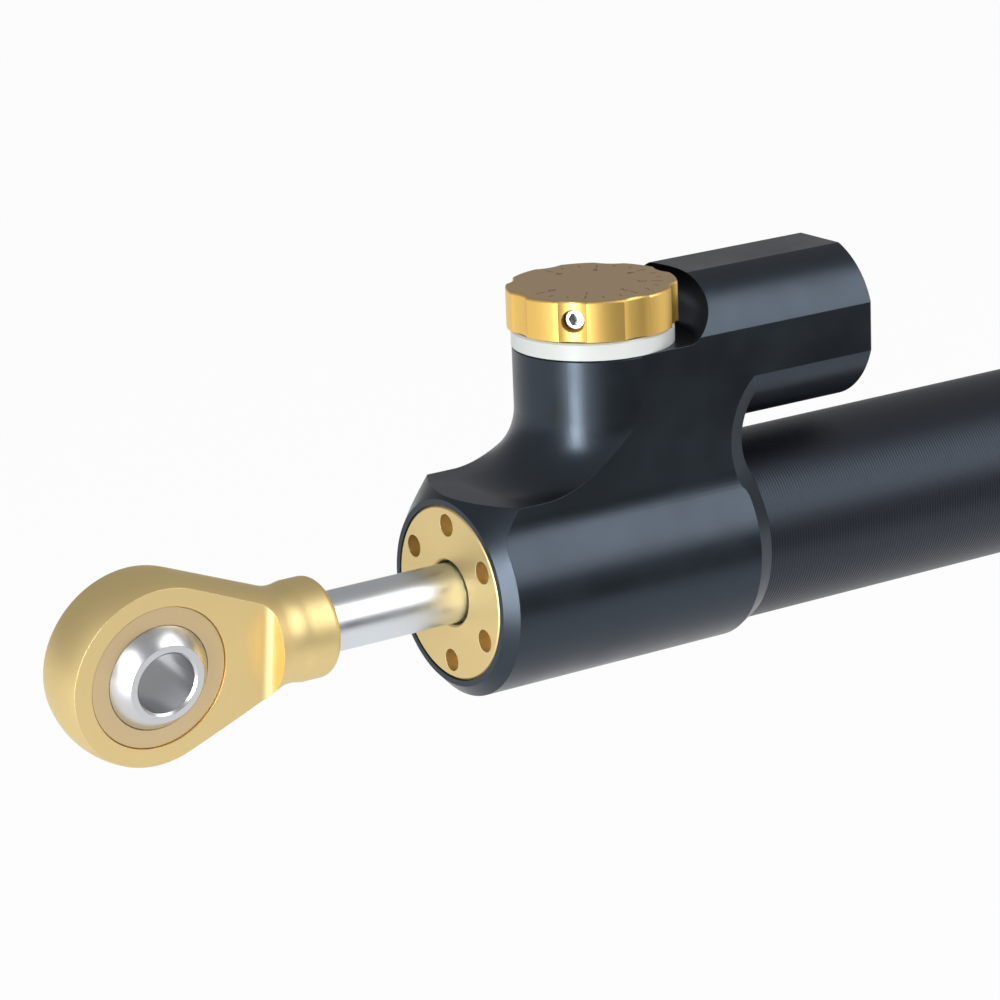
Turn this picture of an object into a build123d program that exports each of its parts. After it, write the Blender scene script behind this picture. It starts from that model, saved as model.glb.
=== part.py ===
from build123d import *
import os
from math import acos, atan2, cos, hypot, radians, sin, sqrt, tan

# Steering damper for a motorcycle: a rod with a spherical eye slides in an oil-filled tube,
# a fluted knob on the head's turret sets the damping, and a gas reservoir takes up the rod's volume.
# Millimetres. +X runs from the eye along the rod and the tube, +Z points up to the knob.
# The origin is the centre of the eye's ball, with the rod fully in.

os.makedirs("parts", exist_ok=True)

# Shared fits
overrun = 2.0
running_clearance = 0.05
seat_clearance = 0.02
end_clearance = 0.3

# Spherical eye
ball_radius = 7.9375
ball_bore_radius = 4.0
ball_bore_chamfer = 0.3
ball_width_share = 0.7559
race_wall = 1.62
race_recess = 0.5
race_chamfer = 0.35
eye_wall = 3.09
eye_thickness = 8.0
eye_roll = 8.0
neck_reach = 6.35
neck_step = 0.45
neck_blend = 6.0
shank_wall = 2.65
neck_flare = 2.5
shank_length = 6.8
shank_rounding = 1.4
flat_short = 0.4
flat_runout = 3.2

# Rod and piston
rod_radius = 4.0
rod_showing = 17.5
stroke = 60.0
rod_thread_radius = 3.0
rod_thread_length = 10.0
rod_thread_chamfer = 0.5
piston_annulus = 4.0
piston_length = 9.0
piston_spigot_radius = 2.5
piston_gap = 0.3
ring_width = 2.4
ring_depth = 1.1
bleed_hole_radius = 0.5
bleed_hole_count = 4
bleed_circle_share = 0.78
piston_nut_radius = 4.6
piston_nut_length = 4.0

# Head block
head_wall = 1.41
head_face_rim = 0.8
head_rear_lip = 0.25
head_rear_chamfer_length = 3.2
deck_drop = 1.18
slab_blend_share = 0.78
turret_setback = 24.24
turret_rise = 2.6
turret_base_fillet = 8.5
turret_edge_chamfer = 0.25
scallop_gap = 2.6
scallop_wall = 3.26
rear_wall_reach = 2.6
rear_wall_fillet = 4.5
rear_band_length = 3.1
rear_band_depth = 1.4

# Reservoir
reservoir_axis_height = 27.1
reservoir_side_flat = 0.51
reservoir_top_flat = 0.77
reservoir_overhang = 21.4
reservoir_edge_chamfer = 0.4
reservoir_wall = 2.25
reservoir_floor_reach = 1.0

# Tubes
tube_wall = 1.6
tube_thread_step = 0.3
tube_socket_floor_gap = 0.1
tube_edge_chamfer = 0.3
oil_annulus = 1.9
inner_wall = 1.2
inner_port_radius = 1.5
inner_port_count = 6

# Front cap and what it closes
cap_step = 1.0
cap_length = 6.5
cap_lip = 1.6
cap_hole_gap = 1.1
cap_edge_chamfer = 0.35
spanner_hole_radius = 1.5
spanner_hole_depth = 3.0
spanner_hole_count = 6
spanner_inset = 2.5
wiper_wall = 3.4
wiper_lip_length = 1.4
wiper_throat_gap = 1.0
carrier_step = 0.8
carrier_length = 7.5
spigot_length = 3.5
rod_seal_wall = 3.4
rod_seal_length = 3.2
rod_seal_groove = 1.3
rod_seal_lip = 1.0
carrier_web = 1.2
carrier_web_gap = 0.3
guide_bush_wall = 1.0

# O-rings
small_cord_radius = 0.5
large_cord_radius = 0.7
groove_side_gap = 0.15

# Oil galleries
gallery_step = 0.5
front_gallery_margin = 0.16
land_length = 3.0
rear_gallery_length = 4.4
port_drill_radius = 1.2
slant_drill_radius = 0.9
slant_drill_angle = 17.0

# Rear end of the tube
rear_port_gap = 2.2
rear_seat_length = 5.0
rear_spigot_length = 4.0
rear_cap_length = 7.0
rear_cap_step = 0.95

# Adjuster valve
valve_depth = 13.2
gland_thread_step = 1.3
gland_depth = 5.1
gland_collar_step = 0.5
gland_top_gap = 0.15
sleeve_wall = 1.6
sleeve_floor = 1.2
valve_port_rise = 4.0
valve_port_radius = 0.9
valve_groove_depth = 0.7
valve_groove_height = 3.0
drum_bore_radius = 2.1
drum_wall = 1.45
drum_crown = 1.6
drum_hole_radius = 0.32
drum_hole_growth_share = 1.12
drum_hole_count = 9
spindle_radius = 2.5
spindle_flat_depth = 0.3

# Knob and its ring
ring_margin = 1.8
ring_overhang = 0.06
ring_thickness = 2.3
ring_edge_chamfer = 0.25
knob_gap = 0.25
knob_overhang = 0.5
knob_height = 5.45
knob_edge_rounding = 0.45
knob_crown = 1.2
flute_count = 8
flute_width = 3.9
flute_depth = 0.7
grub_angle = 225.0
grub_height_share = 0.5
grub_radius = 1.5
grub_recess = 0.45
grub_socket_width = 1.5
grub_socket_depth = 1.8
stop_pin_radius = 0.8
stop_pin_inset = 2.0
stop_pin_depth = 2.5
stop_pin_rise = 0.7
stop_groove_depth = 0.95
knob_half_travel = 135.0
detent_inset = 2.0
detent_angle = 90.0
detent_ball_radius = 1.0
detent_groove_depth = 0.45
detent_pocket_depth = 0.25
detent_click_angle = 15.0
detent_spring_length = 3.0
detent_wire_radius = 0.16
detent_spring_turns = 5

# Reservoir internals
floating_piston_length = 3.9
floating_skirt_depth = 1.6
floating_skirt_radius = 6.4
end_plug_length = 4.0
end_recess = 0.9
circlip_thickness = 1.0
circlip_depth = 0.7
circlip_width = 1.9
circlip_gap_angle = 44.0
circlip_ear_radius = 1.2
circlip_ear_hole_radius = 0.55
gas_screw_radius = 2.5
gas_screw_head_radius = 4.2
gas_screw_head_height = 2.0
gas_screw_sink = 1.2
gas_socket_width = 3.0
gas_socket_depth = 1.6

# Radii of the eye, worked out from the ball
ball_width = 2 * ball_radius * ball_width_share
race_outer_radius = ball_radius + race_wall
race_width = eye_thickness - 2 * race_recess
eye_radius = race_outer_radius + eye_wall
shank_radius = rod_radius + shank_wall
neck_radius = shank_radius - neck_step

# Radii round the rod, worked out from it to the outside
guide_bush_radius = rod_radius + guide_bush_wall
rod_seal_radius = rod_radius + rod_seal_wall
wiper_outer_radius = rod_radius + wiper_wall
wiper_throat_radius = rod_radius + wiper_throat_gap
cap_hole_radius = rod_radius + cap_hole_gap
inner_bore_radius = rod_radius + piston_annulus
inner_outer_radius = inner_bore_radius + inner_wall
tube_bore_radius = inner_outer_radius + oil_annulus
tube_radius = tube_bore_radius + tube_wall
tube_thread_radius = tube_radius - tube_thread_step
cap_radius = tube_radius - cap_step
rear_cap_radius = tube_radius - rear_cap_step
carrier_radius = cap_radius - carrier_step
gallery_radius = carrier_radius - gallery_step
spanner_circle_radius = cap_radius - spanner_inset
head_radius = tube_radius + head_wall
head_face_radius = cap_radius + head_face_rim
head_rear_radius = tube_radius + head_rear_lip
head_rear_chamfer_height = head_radius - head_rear_radius
deck_height = head_radius - deck_drop

# Radii round the turret, worked out from the spindle to the outside
drum_radius = drum_bore_radius + drum_wall
sleeve_bore_radius = drum_radius + running_clearance
valve_bore_radius = sleeve_bore_radius + sleeve_wall
gland_thread_radius = valve_bore_radius + gland_thread_step
gland_collar_radius = gland_thread_radius + gland_collar_step
detent_circle_radius = gland_collar_radius - detent_inset
stop_pin_circle_radius = gland_collar_radius + stop_pin_inset
ring_outer_radius = stop_pin_circle_radius + ring_margin
knob_radius = ring_outer_radius + knob_overhang
scallop_radius = knob_radius + scallop_gap
slab_half_width = ring_outer_radius - ring_overhang
reservoir_radius = slab_half_width + reservoir_side_flat
reservoir_bore_radius = reservoir_radius - reservoir_wall

# Places along the damper
neck_setback = eye_radius + neck_reach
flat_end = neck_setback - flat_short
shank_start = neck_setback + neck_flare
shank_end = shank_start + shank_length
head_front = shank_end + rod_showing
turret_x = head_front + turret_setback
rear_wall_x = turret_x + scallop_radius + scallop_wall
head_rear = rear_wall_x + rear_wall_reach
reservoir_floor = rear_wall_x - reservoir_floor_reach
reservoir_rear = rear_wall_x + reservoir_overhang
front_gallery_end = turret_x + port_drill_radius + front_gallery_margin
land_end = front_gallery_end + land_length
tube_socket_floor = land_end + rear_gallery_length
tube_front = tube_socket_floor + tube_socket_floor_gap
carrier_front = head_front + cap_length
carrier_rear = carrier_front + carrier_length
spigot_end = carrier_rear + spigot_length
piston_front = front_gallery_end + seat_clearance + stroke
piston_rear = piston_front + piston_length
nut_rear = piston_rear + piston_nut_length
rear_spigot_front = nut_rear + rear_port_gap
inner_tube_rear = rear_spigot_front + rear_spigot_length
rear_seat_rear = inner_tube_rear + rear_seat_length
tube_rear = rear_seat_rear + rear_cap_length
plug_rear = reservoir_rear - end_recess - circlip_thickness
plug_front = plug_rear - end_plug_length

# Heights up the turret
reservoir_top = reservoir_axis_height + reservoir_radius - reservoir_top_flat
turret_top = reservoir_axis_height + turret_rise
valve_floor_height = turret_top - valve_depth
valve_port_height = valve_floor_height + valve_port_rise
gland_floor_height = turret_top - gland_depth
ring_top = turret_top + ring_thickness
gland_top = ring_top - gland_top_gap
knob_bottom = ring_top + knob_gap
knob_top = knob_bottom + knob_height
spindle_top = knob_top - knob_crown
drum_top = gland_floor_height - end_clearance
detent_ball_height = knob_bottom + detent_groove_depth - detent_ball_radius - running_clearance

# Planes that the pieces are drawn on
side_plane = Plane.XZ
eye_face_plane = Plane(
    origin=(0, 0, 0),
    x_dir=(1, 0, 0),
    z_dir=(0, -cos(radians(eye_roll)), -sin(radians(eye_roll))),
)
eye_top_plane = Plane(
    origin=(0, 0, 0),
    x_dir=(1, 0, 0),
    z_dir=(0, -sin(radians(eye_roll)), cos(radians(eye_roll))),
)
turret_side_plane = Plane(origin=(turret_x, 0, 0), x_dir=(1, 0, 0), z_dir=(0, -1, 0))
reservoir_side_plane = Plane(origin=(0, 0, reservoir_axis_height), x_dir=(1, 0, 0), z_dir=(0, -1, 0))
reservoir_axis = Axis((0, 0, reservoir_axis_height), (1, 0, 0))
turret_axis = Axis((turret_x, 0, 0), (0, 0, 1))


def cross_plane(x):
    """The plane square to the rod at x, its normal along +X, its own X along +Y."""
    return Plane(origin=(x, 0, 0), x_dir=(0, 1, 0), z_dir=(1, 0, 0))


def reservoir_plane(x):
    """The plane square to the reservoir's axis at x."""
    return Plane(origin=(x, 0, reservoir_axis_height), x_dir=(0, 1, 0), z_dir=(1, 0, 0))


def turret_plane(z):
    """The level plane at height z, centred on the turret."""
    return Plane(origin=(turret_x, 0, z), x_dir=(1, 0, 0), z_dir=(0, 0, 1))


# Rod-end body: a turned head with a spherical crown, two milled flats, a neck and a round shank
tangent_angle = atan2(neck_radius, neck_setback) + acos(eye_radius / hypot(neck_setback, neck_radius))
crown_tangent = (eye_radius * cos(tangent_angle), eye_radius * sin(tangent_angle))
crown_middle_angle = (radians(180) + tangent_angle) / 2
crown_middle = (eye_radius * cos(crown_middle_angle), eye_radius * sin(crown_middle_angle))
with BuildPart() as rod_end_body:
    with BuildSketch(Plane.XY) as turned_profile:
        with BuildLine():
            crown = ThreePointArc((-eye_radius, 0), crown_middle, crown_tangent)
            taper = Line(crown @ 1, (neck_setback, neck_radius))
            rise = Line(taper @ 1, (shank_start, shank_radius))
            shank = Line(rise @ 1, (shank_end, shank_radius))
            face = Line(shank @ 1, (shank_end, 0))
            Line(face @ 1, crown @ 0)
        make_face()
        neck_corner = turned_profile.vertices().sort_by_distance(Vector(neck_setback, neck_radius))[0]
        fillet(neck_corner, neck_blend)
        end_corner = turned_profile.vertices().sort_by_distance(Vector(shank_end, shank_radius))[0]
        fillet(end_corner, shank_rounding)
    revolve(axis=Axis.X)
    with BuildSketch(eye_top_plane) as flat_cut:
        with BuildLine():
            flat = Line((-eye_radius - overrun, eye_thickness / 2), (flat_end, eye_thickness / 2))
            runout = RadiusArc(
                flat @ 1, (flat_end + flat_runout, eye_thickness / 2 + flat_runout), -flat_runout
            )
            side = Line(runout @ 1, (flat_end + flat_runout, eye_radius + overrun))
            back = Line(side @ 1, (-eye_radius - overrun, eye_radius + overrun))
            Line(back @ 1, flat @ 0)
        make_face()
        mirror(about=Plane.XZ)
    extrude(amount=eye_radius + overrun, both=True, mode=Mode.SUBTRACT)
    with BuildSketch(eye_face_plane) as race_seat:
        Circle(race_outer_radius + seat_clearance)
    extrude(amount=eye_radius, both=True, mode=Mode.SUBTRACT)
    with BuildSketch(cross_plane(shank_end)) as rod_socket:
        Circle(rod_thread_radius + seat_clearance)
    extrude(amount=-rod_thread_length - end_clearance, mode=Mode.SUBTRACT)
rod_end_body.part.label = "rod_end_body"
export_step(rod_end_body.part, "parts/rod_end_body.step")

# Bearing race: a bronze ring whose bore is the ball's sphere
with BuildPart() as bearing_race:
    with BuildSketch(eye_face_plane):
        Circle(race_outer_radius)
    extrude(amount=race_width / 2, both=True)
    chamfer(bearing_race.edges().filter_by(GeomType.CIRCLE), race_chamfer)
    Sphere(ball_radius + running_clearance, mode=Mode.SUBTRACT)
bearing_race.part.label = "bearing_race"
export_step(bearing_race.part, "parts/bearing_race.step")

# Bearing ball: a hardened sphere cut to width and bored for the mounting bolt
with BuildPart() as bearing_ball:
    Sphere(ball_radius)
    with BuildSketch(eye_face_plane) as ball_slice:
        Circle(ball_radius + overrun)
    extrude(amount=ball_width / 2, both=True, mode=Mode.INTERSECT)
    with BuildSketch(eye_face_plane) as ball_bore:
        Circle(ball_bore_radius)
    extrude(amount=ball_width, both=True, mode=Mode.SUBTRACT)
    bore_rims = bearing_ball.edges().filter_by(
        lambda edge: edge.geom_type == GeomType.CIRCLE and abs(edge.radius - ball_bore_radius) < seat_clearance
    )
    chamfer(bore_rims, ball_bore_chamfer)
bearing_ball.part.label = "bearing_ball"
export_step(bearing_ball.part, "parts/bearing_ball.step")

# Piston rod: a thread for the eye at the front, a spigot for the piston at the rear
with BuildPart() as piston_rod:
    with BuildSketch(side_plane) as rod_profile:
        with BuildLine():
            Polyline(
                (shank_end - rod_thread_length, 0),
                (shank_end - rod_thread_length, rod_thread_radius),
                (shank_end, rod_thread_radius),
                (shank_end, rod_radius),
                (piston_front, rod_radius),
                (piston_front, piston_spigot_radius),
                (nut_rear, piston_spigot_radius),
                (nut_rear, 0),
                close=True,
            )
        make_face()
    revolve(axis=Axis.X)
    chamfer(piston_rod.edges().group_by(Axis.X)[0], rod_thread_chamfer)
    chamfer(piston_rod.edges().group_by(Axis.X)[-1], rod_thread_chamfer)
piston_rod.part.label = "piston_rod"
export_step(piston_rod.part, "parts/piston_rod.step")

# Piston with its ring groove and four bleed holes
piston_radius = inner_bore_radius - piston_gap
ring_front = piston_front + (piston_length - ring_width) / 2
with BuildPart() as piston:
    with BuildSketch(cross_plane(piston_front)):
        Circle(piston_radius)
        Circle(piston_spigot_radius + seat_clearance, mode=Mode.SUBTRACT)
        with PolarLocations(piston_radius * bleed_circle_share - ring_depth / 2, bleed_hole_count):
            Circle(bleed_hole_radius, mode=Mode.SUBTRACT)
    extrude(amount=piston_length)
    with BuildSketch(cross_plane(ring_front)):
        Circle(piston_radius + overrun)
        Circle(piston_radius - ring_depth, mode=Mode.SUBTRACT)
    extrude(amount=ring_width, mode=Mode.SUBTRACT)
piston.part.label = "piston"
export_step(piston.part, "parts/piston.step")

# Piston ring: the band that slides in the tube while the rod may turn inside it
with BuildPart() as piston_ring:
    with BuildSketch(cross_plane(ring_front + running_clearance)):
        Circle(inner_bore_radius - running_clearance)
        Circle(piston_radius - ring_depth + running_clearance, mode=Mode.SUBTRACT)
    extrude(amount=ring_width - 2 * running_clearance)
piston_ring.part.label = "piston_ring"
export_step(piston_ring.part, "parts/piston_ring.step")

# Piston nut on the rod's rear thread
with BuildPart() as piston_nut:
    with BuildSketch(cross_plane(piston_rear)):
        RegularPolygon(piston_nut_radius, 6)
        Circle(piston_spigot_radius + seat_clearance, mode=Mode.SUBTRACT)
    extrude(amount=piston_nut_length)
piston_nut.part.label = "piston_nut"
export_step(piston_nut.part, "parts/piston_nut.step")

# The saddle of the head: the slab under the reservoir, and the reservoir's housing with its flats
scallop_rear = turret_x + scallop_radius
relief_rear = rear_wall_x + rear_wall_fillet + overrun
relief_reach = hypot(reservoir_axis_height, slab_half_width) + overrun
with BuildPart() as saddle_form:
    with BuildSketch(side_plane) as slab_outline:
        with BuildLine():
            Polyline(
                (turret_x, 0),
                (turret_x, turret_top),
                (scallop_rear + overrun, turret_top),
                (scallop_rear + overrun, reservoir_axis_height),
                (rear_wall_x + rear_wall_fillet, reservoir_axis_height),
                (rear_wall_x + rear_wall_fillet, 0),
                close=True,
            )
        make_face()
    extrude(amount=slab_half_width, both=True)
    with BuildSketch(reservoir_plane(turret_x)) as reservoir_section:
        Circle(reservoir_radius)
        with Locations((0, (reservoir_top - reservoir_axis_height - reservoir_radius) / 2)):
            Rectangle(
                2 * slab_half_width,
                reservoir_top - reservoir_axis_height + reservoir_radius,
                mode=Mode.INTERSECT,
            )
    extrude(amount=reservoir_rear - turret_x)
    chamfer(saddle_form.edges().group_by(Axis.X)[-1], reservoir_edge_chamfer)
    # The relief behind the slab runs round the reservoir and blends into it
    with BuildSketch(reservoir_side_plane) as relief_profile:
        with BuildLine():
            wall = Line((rear_wall_x, -relief_reach), (rear_wall_x, -reservoir_radius - rear_wall_fillet))
            blend = RadiusArc(
                wall @ 1, (rear_wall_x + rear_wall_fillet, -reservoir_radius), rear_wall_fillet
            )
            under = Line(blend @ 1, (relief_rear, -reservoir_radius))
            rear = Line(under @ 1, (relief_rear, -relief_reach))
            Line(rear @ 1, wall @ 0)
        make_face()
    revolve(axis=reservoir_axis, mode=Mode.SUBTRACT)
    # A wide bevel follows the relief's edge down both sides
    for side in (0, -1):
        side_face = saddle_form.faces().filter_by(Axis.Y).sort_by(Axis.Y)[side]
        band_edges = side_face.edges().filter_by(
            lambda edge: abs(edge.center().X - rear_wall_x) < rear_wall_fillet / 2
            and edge.center().Z < reservoir_axis_height - slab_half_width / 4
        )
        chamfer(band_edges, rear_band_length, rear_band_depth, reference=side_face)

# The turret of the head: a round tower on a wide concave foot, no wider than the slab
skirt_radius = slab_half_width + turret_base_fillet
with BuildPart() as turret_form:
    with BuildSketch(turret_side_plane) as tower_profile:
        with BuildLine():
            floor = Line((0, 0), (skirt_radius, 0))
            skirt = Line(floor @ 1, (skirt_radius, deck_height))
            foot = RadiusArc(skirt @ 1, (slab_half_width, deck_height + turret_base_fillet), turret_base_fillet)
            tower = Line(foot @ 1, (slab_half_width, turret_top))
            top = Line(tower @ 1, (0, turret_top))
            Line(top @ 1, floor @ 0)
        make_face()
    revolve(axis=turret_axis)
    chamfer(turret_form.edges().group_by(Axis.Z)[-1], turret_edge_chamfer)
    with BuildSketch(turret_plane(0)) as tower_limits:
        with Locations(((slab_half_width - skirt_radius) / 2, 0)):
            Rectangle(slab_half_width + skirt_radius, 2 * slab_half_width)
    extrude(amount=turret_top, mode=Mode.INTERSECT)

# Head block: one milled piece that holds the tube, carries the turret and is the reservoir's housing
chamfer_reach = hypot(deck_height, slab_half_width) - head_face_radius + overrun
corner_height = sqrt(head_radius**2 - slab_half_width**2)
corner_turn = acos(slab_half_width / head_radius)
slab_blend = slab_blend_share * (deck_height - corner_height) / tan(corner_turn / 2)
rear_slope = head_rear_chamfer_height / head_rear_chamfer_length
slab_end = rear_wall_x - rear_band_length
land_groove_half = small_cord_radius + groove_side_gap
land_middle = (front_gallery_end + land_end) / 2
land_radius = inner_outer_radius + seat_clearance
land_groove_radius = inner_outer_radius + 2 * small_cord_radius + 2 * seat_clearance
slant_start = (turret_x + valve_bore_radius - slant_drill_radius, 0, valve_port_height)
slant_direction = (sin(radians(slant_drill_angle)), 0, -cos(radians(slant_drill_angle)))
slant_length = (valve_port_height - gallery_radius + slant_drill_radius) / cos(radians(slant_drill_angle))
with BuildPart() as head_block:
    # The deck on the round barrel, its inner corners blended, its rear end turned to a shallow cone
    with BuildSketch(cross_plane(head_front)) as head_section:
        Circle(head_radius)
        with Locations((0, deck_height / 2)):
            Rectangle(2 * slab_half_width, deck_height)
        for corner in ((-slab_half_width, corner_height), (slab_half_width, corner_height)):
            fillet(head_section.vertices().sort_by_distance(corner)[0], slab_blend)
    extrude(amount=slab_end - head_front)
    with BuildSketch(side_plane) as rear_cone:
        with BuildLine():
            Polyline(
                (head_rear, head_rear_radius),
                (head_front, head_rear_radius + (head_rear - head_front) * rear_slope),
                (head_rear, head_rear_radius + (head_rear - head_front) * rear_slope),
                close=True,
            )
        make_face()
    revolve(axis=Axis.X, mode=Mode.SUBTRACT)
    with BuildSketch(side_plane) as barrel_profile:
        with BuildLine():
            Polyline(
                (head_front, 0),
                (head_front, head_radius),
                (head_rear - head_rear_chamfer_length, head_radius),
                (head_rear, head_rear_radius),
                (head_rear, 0),
                close=True,
            )
        make_face()
    revolve(axis=Axis.X)
    add(saddle_form.part)
    add(turret_form.part)
    # One turned bevel runs round the whole front end
    with BuildSketch(side_plane) as front_bevel:
        with BuildLine():
            Polyline(
                (head_front, head_face_radius),
                (head_front + chamfer_reach, head_face_radius + chamfer_reach),
                (head_front - overrun, head_face_radius + chamfer_reach),
                (head_front - overrun, head_face_radius),
                close=True,
            )
        make_face()
    revolve(axis=Axis.X, mode=Mode.SUBTRACT)
    # The scallop that clears the knob
    with BuildSketch(turret_plane(turret_top)) as scallop:
        Circle(scallop_radius)
    extrude(amount=reservoir_top - turret_top + overrun, mode=Mode.SUBTRACT)
    # Stepped bore: cap, seal carrier, front gallery, grooved land, rear gallery, tube socket
    with BuildSketch(side_plane) as stepped_bore:
        with BuildLine():
            Polyline(
                (head_front - overrun, 0),
                (head_front - overrun, cap_radius + seat_clearance),
                (carrier_front, cap_radius + seat_clearance),
                (carrier_front, carrier_radius + seat_clearance),
                (carrier_rear, carrier_radius + seat_clearance),
                (carrier_rear, gallery_radius),
                (front_gallery_end, gallery_radius),
                (front_gallery_end, land_radius),
                (land_middle - land_groove_half, land_radius),
                (land_middle - land_groove_half, land_groove_radius),
                (land_middle + land_groove_half, land_groove_radius),
                (land_middle + land_groove_half, land_radius),
                (land_end, land_radius),
                (land_end, gallery_radius),
                (tube_socket_floor, gallery_radius),
                (tube_socket_floor, tube_thread_radius + seat_clearance),
                (head_rear + overrun, tube_thread_radius + seat_clearance),
                (head_rear + overrun, 0),
                close=True,
            )
        make_face()
    revolve(axis=Axis.X, mode=Mode.SUBTRACT)
    # Valve bore down the turret, its two drillings and the stop pin's hole
    with BuildSketch(turret_plane(turret_top)) as gland_thread:
        Circle(gland_thread_radius + seat_clearance)
    extrude(amount=gland_floor_height - turret_top, mode=Mode.SUBTRACT)
    with BuildSketch(turret_plane(turret_top)) as valve_bore:
        Circle(valve_bore_radius + seat_clearance)
    extrude(amount=valve_floor_height - turret_top, mode=Mode.SUBTRACT)
    with BuildSketch(turret_plane(valve_floor_height)) as front_port:
        Circle(port_drill_radius)
    extrude(amount=inner_outer_radius - valve_floor_height, mode=Mode.SUBTRACT)
    with BuildSketch(Plane(origin=slant_start, x_dir=(0, 1, 0), z_dir=slant_direction)) as rear_port:
        Circle(slant_drill_radius)
    extrude(amount=slant_length, mode=Mode.SUBTRACT)
    with BuildSketch(turret_plane(turret_top)) as pin_hole:
        with Locations((stop_pin_circle_radius, 0)):
            Circle(stop_pin_radius + seat_clearance)
    extrude(amount=-stop_pin_depth - seat_clearance, mode=Mode.SUBTRACT)
    # Reservoir bore with its circlip groove, and the passage from its floor to the valve
    with BuildSketch(reservoir_plane(reservoir_rear)) as reservoir_bore:
        Circle(reservoir_bore_radius)
    extrude(amount=reservoir_floor - reservoir_rear, mode=Mode.SUBTRACT)
    with BuildSketch(reservoir_plane(plug_rear)) as circlip_groove:
        Circle(reservoir_bore_radius + circlip_depth)
    extrude(amount=circlip_thickness, mode=Mode.SUBTRACT)
    with BuildSketch(Plane(origin=(turret_x, 0, valve_port_height), x_dir=(0, 1, 0), z_dir=(1, 0, 0))) as passage:
        Circle(port_drill_radius)
    extrude(amount=reservoir_floor - turret_x + seat_clearance, mode=Mode.SUBTRACT)
head_block.part.label = "head_block"
export_step(head_block.part, "parts/head_block.step")

# Outer tube, threaded into the head up to its shoulder and open at the rear for its cap
with BuildPart() as outer_tube:
    with BuildSketch(side_plane) as outer_tube_wall:
        with BuildLine():
            Polyline(
                (tube_front, tube_bore_radius),
                (tube_front, tube_thread_radius),
                (head_rear + seat_clearance, tube_thread_radius),
                (head_rear + seat_clearance, tube_radius),
                (tube_rear - tube_edge_chamfer, tube_radius),
                (tube_rear, tube_radius - tube_edge_chamfer),
                (tube_rear, rear_cap_radius + seat_clearance),
                (rear_seat_rear, rear_cap_radius + seat_clearance),
                (rear_seat_rear, tube_bore_radius),
                close=True,
            )
        make_face()
    revolve(axis=Axis.X)
outer_tube.part.label = "outer_tube"
export_step(outer_tube.part, "parts/outer_tube.step")

# Inner tube, the working cylinder, with a ring of ports at each end
port_places = (
    (spigot_end + front_gallery_end) / 2,
    rear_spigot_front - inner_port_radius - seat_clearance,
)
with BuildPart() as inner_tube:
    with BuildSketch(cross_plane(carrier_rear + seat_clearance)):
        Circle(inner_outer_radius)
        Circle(inner_bore_radius, mode=Mode.SUBTRACT)
    extrude(amount=inner_tube_rear - carrier_rear - 2 * seat_clearance)
    for place in port_places:
        for index in range(inner_port_count // 2):
            turn = radians(360 * index / inner_port_count)
            across = Plane(origin=(place, 0, 0), x_dir=(1, 0, 0), z_dir=(0, sin(turn), cos(turn)))
            with BuildSketch(across):
                Circle(inner_port_radius)
            extrude(amount=inner_outer_radius + overrun, both=True, mode=Mode.SUBTRACT)
inner_tube.part.label = "inner_tube"
export_step(inner_tube.part, "parts/inner_tube.step")


def spanner_circle(face_x):
    """The ring of pin-spanner holes, drawn on the face at face_x."""
    with BuildSketch(cross_plane(face_x)) as holes:
        with PolarLocations(spanner_circle_radius, spanner_hole_count, start_angle=180 / spanner_hole_count):
            Circle(spanner_hole_radius)
    return holes.sketch


# Front cap: closes the head, holds the wiper and carries the pin-spanner holes
with BuildPart() as front_cap:
    with BuildSketch(side_plane) as cap_profile:
        with BuildLine():
            Polyline(
                (head_front, cap_hole_radius + cap_edge_chamfer),
                (head_front, cap_radius - cap_edge_chamfer),
                (head_front + cap_edge_chamfer, cap_radius),
                (carrier_front, cap_radius),
                (carrier_front, wiper_outer_radius + seat_clearance),
                (head_front + cap_lip, wiper_outer_radius + seat_clearance),
                (head_front + cap_lip, cap_hole_radius),
                (head_front + cap_edge_chamfer, cap_hole_radius),
                close=True,
            )
        make_face()
    revolve(axis=Axis.X)
    extrude(spanner_circle(head_front), amount=spanner_hole_depth, mode=Mode.SUBTRACT)
front_cap.part.label = "front_cap"
export_step(front_cap.part, "parts/front_cap.step")

# Wiper: its lip points forward and scrapes the rod clean
wiper_front = head_front + cap_lip + seat_clearance
rod_fit_radius = rod_radius + running_clearance
with BuildPart() as wiper:
    with BuildSketch(side_plane) as wiper_profile:
        with BuildLine():
            Polyline(
                (wiper_front, rod_fit_radius),
                (wiper_front, wiper_outer_radius),
                (carrier_front, wiper_outer_radius),
                (carrier_front, wiper_throat_radius),
                (wiper_front + wiper_lip_length, wiper_throat_radius),
                (wiper_front + wiper_lip_length, rod_fit_radius),
                close=True,
            )
        make_face()
    revolve(axis=Axis.X)
wiper.part.label = "wiper"
export_step(wiper.part, "parts/wiper.step")

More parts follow.
